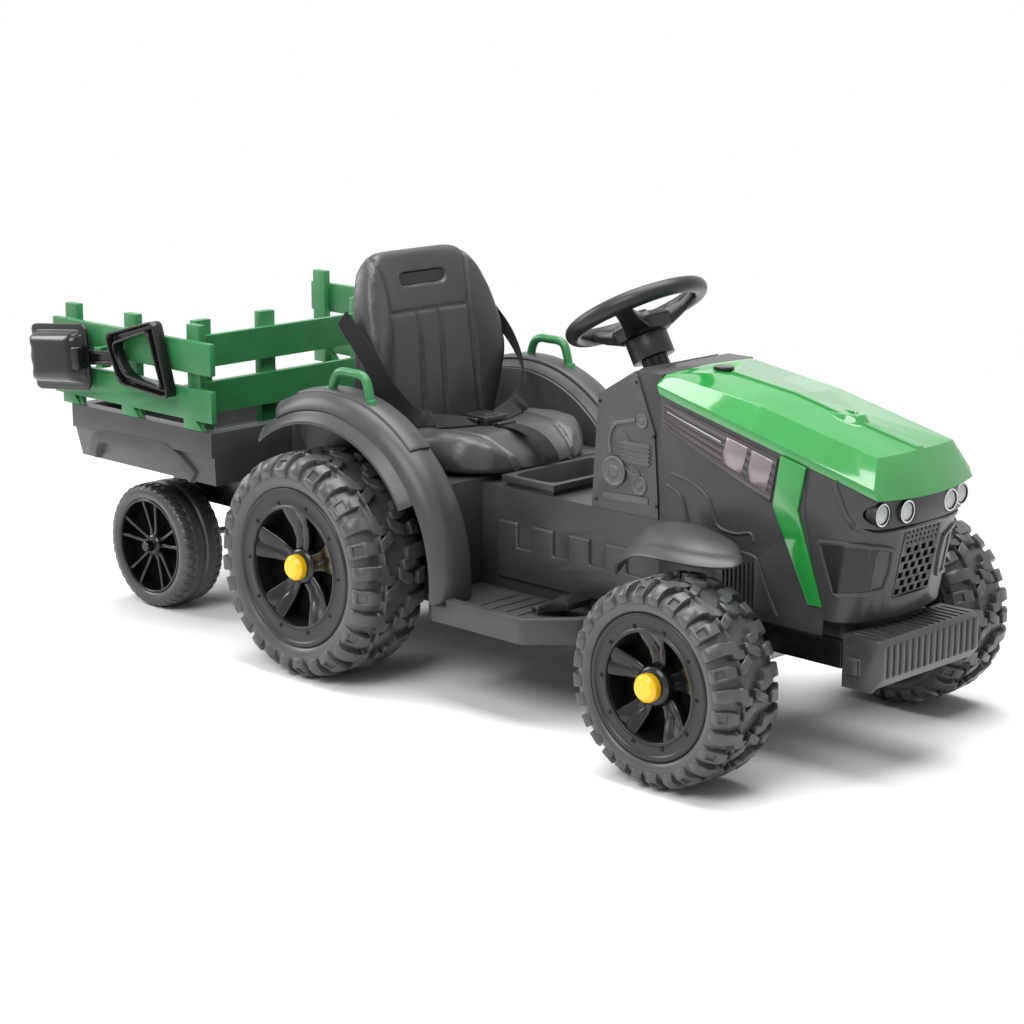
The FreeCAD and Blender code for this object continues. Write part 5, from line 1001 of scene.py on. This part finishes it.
cover_tree = tree_of(nodes["side_covers"])
vent_tree = tree_of(nodes["vent_panels"])
plate_tree = tree_of(nodes["engine_plates"])
cover_rows = (
    [(479, 303), (496, 296), (505, 285), (513, 261), (523, 252), (541, 245), (560, 242)],
    [(485, 318), (518, 311), (543, 296), (552, 275), (562, 264), (586, 262), (606, 266), (612, 257)],
    [(563, 247), (590, 242), (615, 238), (626, 216), (637, 195), (648, 175)],
)
window_rows = ([(571, 374), (602, 366), (593, 333), (562, 344)], [(608, 364), (639, 356), (628, 317), (600, 330)])
# Engine relief: crank cover, belt wheel and filler; base and cylinder; fins; pipe and belt.
boss_rows = ((391, 305, 19, 2.4), (431, 293, 12, 2.0), (434, 372, 9, 1.8))
slab_rows = (([(372, 268), (446, 272), (446, 281), (372, 277)], 1.4),
             ([(405, 318), (446, 318), (446, 345), (405, 345)], 1.5))
fin_count, fin_low, fin_pitch, fin_tall = 5, 321, 5, 2
pipe_rows = (([(384, 326), (382, 345), (390, 362), (408, 368), (424, 372)], 6.0, 1.8),
             ([(405, 313), (418, 306), (430, 305)], 3.0, 1.2))

ridges, windows, lines, reliefs = [], [], [], []
for h in hands:
    ridges += [raised_line(cover_tree, points, h, width=4.4, height=2.0) for points in cover_rows]
    windows += [raised_plate(vent_tree, outline, h, height=0.8) for outline in window_rows]
    lines.append(raised_line(vent_tree, [(480, 391), (520, 379), (562, 367)], h, width=1.6, height=0.5))
    reliefs += [ring_boss(plate_tree, x, z, h, radius, height) for x, z, radius, height in boss_rows]
    reliefs += [raised_plate(plate_tree, outline, h, height) for outline, height in slab_rows]
    for i in range(fin_count):
        z0 = fin_low + fin_pitch * i
        z1 = z0 + fin_tall
        fin = [(402, z0), (449, z0), (449, z1), (402, z1)]
        reliefs.append(raised_plate(plate_tree, fin, h, height=2.4, draft=0.3))
    reliefs += [raised_line(plate_tree, points, h, width, height) for points, width, height in pipe_rows]
finished(joined("side_cover_ridges", ridges), 0.5, "tractor", "body_grey", segments=1)


# ---------------- trailer

tub_back, tub_front = -490, -184


def tub_ring(inset, half, z):
    """Plan of the tub at one height: inset from its ends and half width."""
    x0, x1 = tub_back + inset, tub_front - inset
    return [spot(x0, -half, z), spot(x1, -half, z), spot(x1, half, z), spot(x0, half, z)]


tub = skin("tub", [tub_ring(*row) for row in (
    (6, 232, 217), (0, 238, 256), (0, 243, 258), (0, 243, 290), (20, 223, 290), (20, 223, 284), (5, 233, 284),
    (5, 233, 257), (11, 227, 222))])
tub_tree = tree_of(tub)
arch = [(-452, 222), (-444, 240), (-432, 251), (-416, 253), (-350, 254), (-290, 255), (-270, 250), (-250, 238),
        (-232, 222)]
arches = [raised_line(tub_tree, arch, h, width=26, height=7.0, sink=6.0) for h in hands]
pads = [bar_block((-264, y - 15, 221), (-248, y + 15, 225), 0.4) for y in (-198, -87, 87, 198)]
finished(joined("tub_with_arches", [tub] + arches + pads), 2.2, "trailer", "body_grey",
         stands_for=("trailer_tub",), segments=3)

panel = cad_copy("slatted_front_panel", "trailer_front_panel")
low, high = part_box("trailer_front_panel")
for vertex in panel.data.vertices:
    vertex.co.x = low[0] + high[0] - vertex.co.x
finished(outward(panel), 1.2, "trailer", "green_satin", stands_for=("trailer_front_panel",))


# ---------------- nose and console

# The ledge under the lamps runs round the nose, over a framed pocket with a dark floor on each corner.
nose_tree = tree_of(nodes["nose_panel"])
ledge = [(724, 93, 345), (734, 93, 325), (744, 93, 307), (760, 84, 294), (774, 62, 290), (784, 16, 293)]
pocket = (
    (7, 2.8, [(705, 93, 273), (731, 93, 276), (753, 87, 276), (768, 71, 274), (774, 48, 268)]),
    (7, 2.8, [(774, 48, 269), (770, 46, 246), (764, 50, 220)]),
    (7, 2.8, [(727, 93, 215), (751, 81, 218), (764, 50, 221)]),
    (6, 2.4, [(705, 93, 274), (714, 93, 248), (727, 93, 214)]),
    (4, 1.6, [(768, 68, 270), (764, 68, 250), (761, 68, 222)]),
)
pocket_top = [(707, 93, 272), (731, 93, 275), (753, 87, 275), (769, 67, 272)]
pocket_low = [(727, 93, 217), (738, 92, 218), (750, 83, 219), (762, 67, 220)]
nose, floors = [draped_line(nose_tree, mirrored(ledge, -1) + ledge[::-1], width=8, height=3.2)], []
for h in hands:
    floors.append(draped_patch(nose_tree, mirrored(pocket_top, h), mirrored(pocket_low, h), lift=0.7))
    nose += [draped_line(nose_tree, mirrored(row, h), width, height) for width, height, row in pocket]
finished(joined("nose_pocket_frames", nose), 0.6, "tractor", "body_grey")
finished(joined("nose_pocket_floors", floors), 0, "tractor", "black_satin")

chin = []
for z, half, back in ((150, 62, 14), (188, 78, 0)):
    plan = [(676, half), (728 - back, half), (748 - back, half - 16)]
    ahead = [spot(x, -y, z) for x, y in plan] + [spot(758 - back, 0, z)]
    chin.append(ahead + [spot(x, y, z) for x, y in reversed(plan)])
finished(skin("nose_chin", chin), 3, "tractor", "body_grey")

# The console's battlement plate, a little prouder than the wall's own step, with soft edges.
merlon_start, merlon_pitch, merlon_width, merlon_count = 196, 61, 35.4, 4
merlon_foot, merlon_gap, merlon_top = 140, 182, 214
edge = [(merlon_start, merlon_foot)]
for i in range(merlon_count):
    x = merlon_start + merlon_pitch * i
    edge += [(x, merlon_top), (x + merlon_width, merlon_top), (x + merlon_width, merlon_gap),
             (x + merlon_pitch, merlon_gap)]
edge.append((x + merlon_pitch, merlon_foot))
plates = [skin("plate", [[spot(x, h * y, z) for x, z in edge] for y in (87, 93)]) for h in hands]
finished(joined("console_battlements", plates), 3.0, "tractor", "body_grey", segments=4)


# ---------------- fenders and handles

fender_wall, fender_band, fender_band_start = 3, 2.0, 0.87
fender_lip = [(462, 165, 203), (486, 188, 225), (527, 205, 244), (572, 214, 250), (618, 214, 251), (648, 200, 251),
              (660, 184, 252), (655, 166, 252), (640, 148, 249)]
fender_root = [(440, 92, 228), (452, 92, 243), (480, 92, 254), (515, 92, 259), (545, 92, 258), (560, 92, 252),
               (572, 92, 246), (582, 92, 241), (590, 92, 235)]
fender_rise = [3, 10, 17, 20, 20, 19, 17, 13, 8]
fender_shares = [0.0, 0.12, 0.26, 0.4, 0.54, 0.68, 0.8, 0.86, 0.885, 0.95, 1.0]


def domed_fender(side):
    """A front fender: a thin shell that springs from the engine bay, domes over the tyre and ends in a banded lip."""
    lip, root = (smooth_path([Vector(p) for p in mirrored(row, side)], per_span=5) for row in (fender_lip, fender_root))
    rise = [v.x for v in smooth_path([Vector((r, 0, 0)) for r in fender_rise], per_span=5)]
    verts, faces = [], []
    for low, high, dome in zip(root, lip, rise):
        for share in fender_shares:
            band = fender_band if share > fender_band_start else 0.0
            verts.append(spot(*(low.lerp(high, share) + Vector((0, 0, 4 * share * (1 - share) * dome + band)))))
    wide = len(fender_shares)
    for i in range(len(lip) - 1):
        for j in range(wide - 1):
            faces.append((i * wide + j, i * wide + j + 1, (i + 1) * wide + j + 1, (i + 1) * wide + j))
    shell = mesh_object("fender", verts, faces)
    wall = shell.modifiers.new("wall", "SOLIDIFY")
    wall.thickness = fender_wall * MM
    wall.offset = side
    return outward(settled(shell))


finished(joined("domed_front_fenders", [domed_fender(h) for h in hands]), 1.2, "tractor", "body_grey",
         stands_for=("front_fenders",), angle=50)

crown_section = ((216, 158), (220.6, 160), (221.6, 178), (220.4, 194), (215, 196))
crown_start, crown_sweep, crown_steps, rear_axle_z = -18, 60, 28, 146
crowns = []
for h in hands:
    rings = []
    for i in range(crown_steps + 1):
        turn = math.radians(crown_start + crown_sweep * i / crown_steps)
        rings.append([spot(r * math.sin(turn), h * y, rear_axle_z + r * math.cos(turn)) for r, y in crown_section])
    crowns.append(skin("crown", rings))
finished(joined("fender_crown_panels", crowns), 1.6, "tractor", "body_grey")


def bent_tube(points, y, half_in, half_out):
    """A round bar along a smooth path of (x, z) points in one plane."""
    line = smooth_path([Vector((x, 0, z)) for x, z in points], per_span=5)
    out = Vector((0, half_out, 0))
    rings = []
    for i, p in enumerate(line):
        along = heading(line, i)
        across = Vector((along.z, 0, -along.x))
        turns = [full_turn * j / tube_steps for j in range(tube_steps)]
        rings.append([spot(p.x, y, p.z) + (across * half_in * math.cos(t) + out * math.sin(t)) * MM for t in turns])
    return skin("tube", rings)


bow_y = 182
bow_path = [(-12, 359), (-8, 375), (-1, 386), (10, 390), (24, 390), (40, 390), (51, 386), (57, 373), (62, 353)]
bow_rows = ((bow_path, 5.8, 6.0), ([(-14, 357), (-12, 366)], 10, 7.5), ([(64, 350), (61, 360)], 9, 7.5))
bows = [bent_tube(path, h * bow_y, half_in, half_out) for h in hands for path, half_in, half_out in bow_rows]
finished(joined("bent_grab_handles", bows), 1.5, "tractor", "green_satin", stands_for=("grab_handles",), angle=50)


# ---------------- shovel

shovel_z, shovel_rise = 366, 6
shovel_clip = spot(-412, -249, shovel_z)
grip_corner = 11
blade_tip, blade_root, blade_half = -558, -428, 46
scallop_side, scallop_mid, scallop_share = 5, 1, 0.45
# The scoop's rings, from its floor inside, over its lip, to its crown outside: y, inset and corner.
blade_rows = ((-273, 26, 10), (-271, 20, 12), (-265, 16, 13), (-254, 13, 13), (-254, 0, 16), (-258, 0, 16),
              (-258, 9, 14), (-267, 12, 14), (-273, 15, 13), (-276, 20, 12), (-277, 27, 10))
# The handle's rings round its channel: y and inset.
grip_rows = ((-249, 0), (-266, 0), (-266, 3), (-255, 4.5), (-255, 10.5), (-266, 12), (-266, 15), (-249, 15))


def eased(corners, radius, y, steps=5):
    """A ring at one depth through (x, height) corners, each one rounded by a short curve."""
    corners = [Vector(corner) for corner in corners]
    line = []
    for i, corner in enumerate(corners):
        ends = []
        for other in (corners[i - 1], corners[(i + 1) % len(corners)]):
            ends.append(corner + (other - corner).normalized() * min(radius, 0.45 * (other - corner).length))
        for k in range(steps + 1):
            t = k / steps
            line.append(ends[0] * (1 - t) ** 2 + corner * 2 * t * (1 - t) + ends[1] * t * t)
    return [spot(p.x, y, shovel_z + p.y) for p in line]


def blade_ring(y, inset, corner):
    """The scoop's outline at one depth, with a scalloped tip."""
    x0, x1, half = blade_tip + inset, blade_root - inset, blade_half - inset
    reach = scallop_share * half
    tip = [(x0 + scallop_side, reach), (x0 + scallop_mid, 0), (x0 + scallop_side, -reach)]
    return eased([(x0, -half), (x1, -half), (x1, half), (x0, half)] + tip, corner, y)


def grip_ring(y, inset):
    """The handle's outline at one depth."""
    return eased([(-356 + inset, inset - 34), (-248 - inset, inset - 52), (-268 - inset, 52 - inset),
                  (-376 + inset, 34 - inset)], grip_corner, y)


grip = [grip_ring(*row) for row in grip_rows]
pieces = [skin("blade", [blade_ring(*row) for row in blade_rows]), skin("grip", grip + grip[:1], capped=False)]
pieces.append(bar_block((-446, -254, 356), (-358, -249, 376), 0.8))
pieces += [bar_block((-446, -259, z), (-358, -253, z + 5), 0.8) for z in (356, 371)]
pieces.append(bar_block((-452, -274, 350), (-432, -254, 382), 3.0))
digger = settled(rounded(joined("scalloped_shovel", pieces), 1.0, angle=40))
digger.data.transform(Matrix.Translation(shovel_clip) @ Matrix.Rotation(math.radians(-shovel_rise), 4, "Y")
                      @ Matrix.Translation(-shovel_clip))
dressed(digger, "shovel", "black_gloss", stands_for=("shovel",))


# ---------------- vents and engine plates

finished(joined("vent_windows", windows), 0.3, "tractor", "vent_dark", window_film, segments=1)
finished(joined("vent_bright_lines", lines), 0, "tractor", "bright_ring")
finished(joined("engine_relief", reliefs), 0.5, "tractor", "engine_bronze", relief_bronze)
rivet_places = ((361, 266), (458, 272), (366, 388), (424, 418), (452, 356))
for h, label in ((-1, "right"), (1, "left")):
    places = [flank_hit(plate_tree, x, z, h) for x, z in rivet_places]
    rivets = mesh_object("engine_plate_rivets_" + label, places, [])
    head = screw_head(radius=2.2, side=h)
    grow(rivets, points_tree, {"Shape": head, "Finish": finish_of_slot["black_satin"]})
    settled(rivets)
    bpy.data.objects.remove(head)
    finished(rivets, 0, "tractor", "black_satin")


# ---------------- CAD nodes

plain_edge, weld_reach, flat_angle = 0.8, 0.02, 0.6
edge_radius = {
    "rear_body": 3.0, "hood": 5.0, "nose_panel": 2.0, "side_covers": 1.5, "floor_pan": 5.0, "console": 2.5,
    "cowl": 2.0, "dash_panel": 2.0, "front_bumper": 1.6, "front_frame": 1.5, "trailer_frame": 1.5,
    "trailer_side_panels": 1.2, "hood_strips": 1.0, "hood_cap": 1.0, "vent_panels": 0.6, "engine_plates": 0.6,
}
for name, obj in nodes.items():
    slot = next(s.material.name for s in obj.material_slots).split(".")[0]
    obj.material_slots[0].material = finish_of_slot[slot]
    grow(obj, bare_tree, {})
    weld = obj.modifiers.new("weld", "WELD")
    weld.merge_threshold = weld_reach * MM
    flat = obj.modifiers.new("merge_flats", "DECIMATE")
    flat.decimate_type = "DISSOLVE"
    flat.angle_limit = math.radians(flat_angle)
    rounded(obj, edge_radius.get(name, plain_edge))
nodes["front_bumper"].material_slots[0].material = rib_black
# The lamp rings: plating on their faces, painted shade on their sides.
nodes["headlight_bezels"].material_slots[0].material = bezel_plating_with_painted_shade()


# ---------------- stage

floor_half, floor_drop = 4, 0.5
corners = ((-1, -1), (1, -1), (1, 1), (-1, 1))
floor = mesh_object("floor", [(x * floor_half, y * floor_half, 0) for x, y in corners], [(0, 1, 2, 3)])
floor.location.z = -floor_drop * MM
paper, tree = new_finish("floor_paper")
reach = add(tree, "ShaderNodeVectorMath", {"operation": "LENGTH"}, {0: coordinates(tree)}).outputs["Value"]
fade = mapped(tree, reach, 0.9, 2.2, interpolation_type="SMOOTHSTEP")
sheet = add(tree, "ShaderNodeBsdfDiffuse", {"Color": linear("#fafafa")})
clear = add(tree, "ShaderNodeBsdfTransparent")
both = add(tree, "ShaderNodeMixShader", None, {0: fade, 1: sheet, 2: clear})
add(tree, "ShaderNodeOutputMaterial", None, {"Surface": both})
floor.data.materials.append(paper)

soft_light, seen_light = 0.27, 1.0
world = bpy.data.worlds.new("studio")
scene.world = world
world.use_nodes = True
tree = world.node_tree
tree.nodes.clear()
path = add(tree, "ShaderNodeLightPath").outputs
seen = path["Is Camera Ray"]
for ray in ("Is Glossy Ray", "Is Transmission Ray"):
    seen = add(tree, "ShaderNodeMath", {"operation": "MAXIMUM"}, {0: seen, 1: path[ray]})
soft, white = (add(tree, "ShaderNodeBackground", {"Color": linear("#ffffff"), "Strength": strength})
               for strength in (soft_light, seen_light))
both = add(tree, "ShaderNodeMixShader", None, {0: seen, 1: soft, 2: white})
add(tree, "ShaderNodeOutputWorld", None, {"Surface": both})


def aimed(obj, place, aim):
    """Puts a lamp or a camera in its place, looking at a point."""
    obj.location = place
    obj.rotation_euler = (Vector(aim) - Vector(place)).to_track_quat("-Z", "Y").to_euler()
    scene.collection.objects.link(obj)


def softbox(name, place, aim, size, power):
    lamp = bpy.data.lights.new(name, "AREA")
    lamp.shape = "RECTANGLE"
    lamp.size, lamp.size_y = size
    lamp.energy = power
    aimed(bpy.data.objects.new(name, lamp), place, aim)


softbox("key_softbox", (0.7, -2.7, 2.8), (0.0, 0.0, 0.2), (2.2, 1.7), 80.0)
softbox("top_softbox", (0.0, 0.3, 3.2), (0.0, 0.0, 0.0), (3.6, 2.6), 168.0)
softbox("side_softbox", (-2.8, -1.2, 1.6), (0.0, 0.0, 0.3), (1.2, 1.4), 40.0)

view = bpy.data.cameras.new("photo_camera")
view.lens = 90.489
view.sensor_width = 36.0
eye = bpy.data.objects.new("photo_camera", view)
aimed(eye, (2.3030, -2.3286, 0.9718), (0.0140, 0.0, 0.1964))
scene.camera = eye
scene.view_settings.view_transform = "Standard"
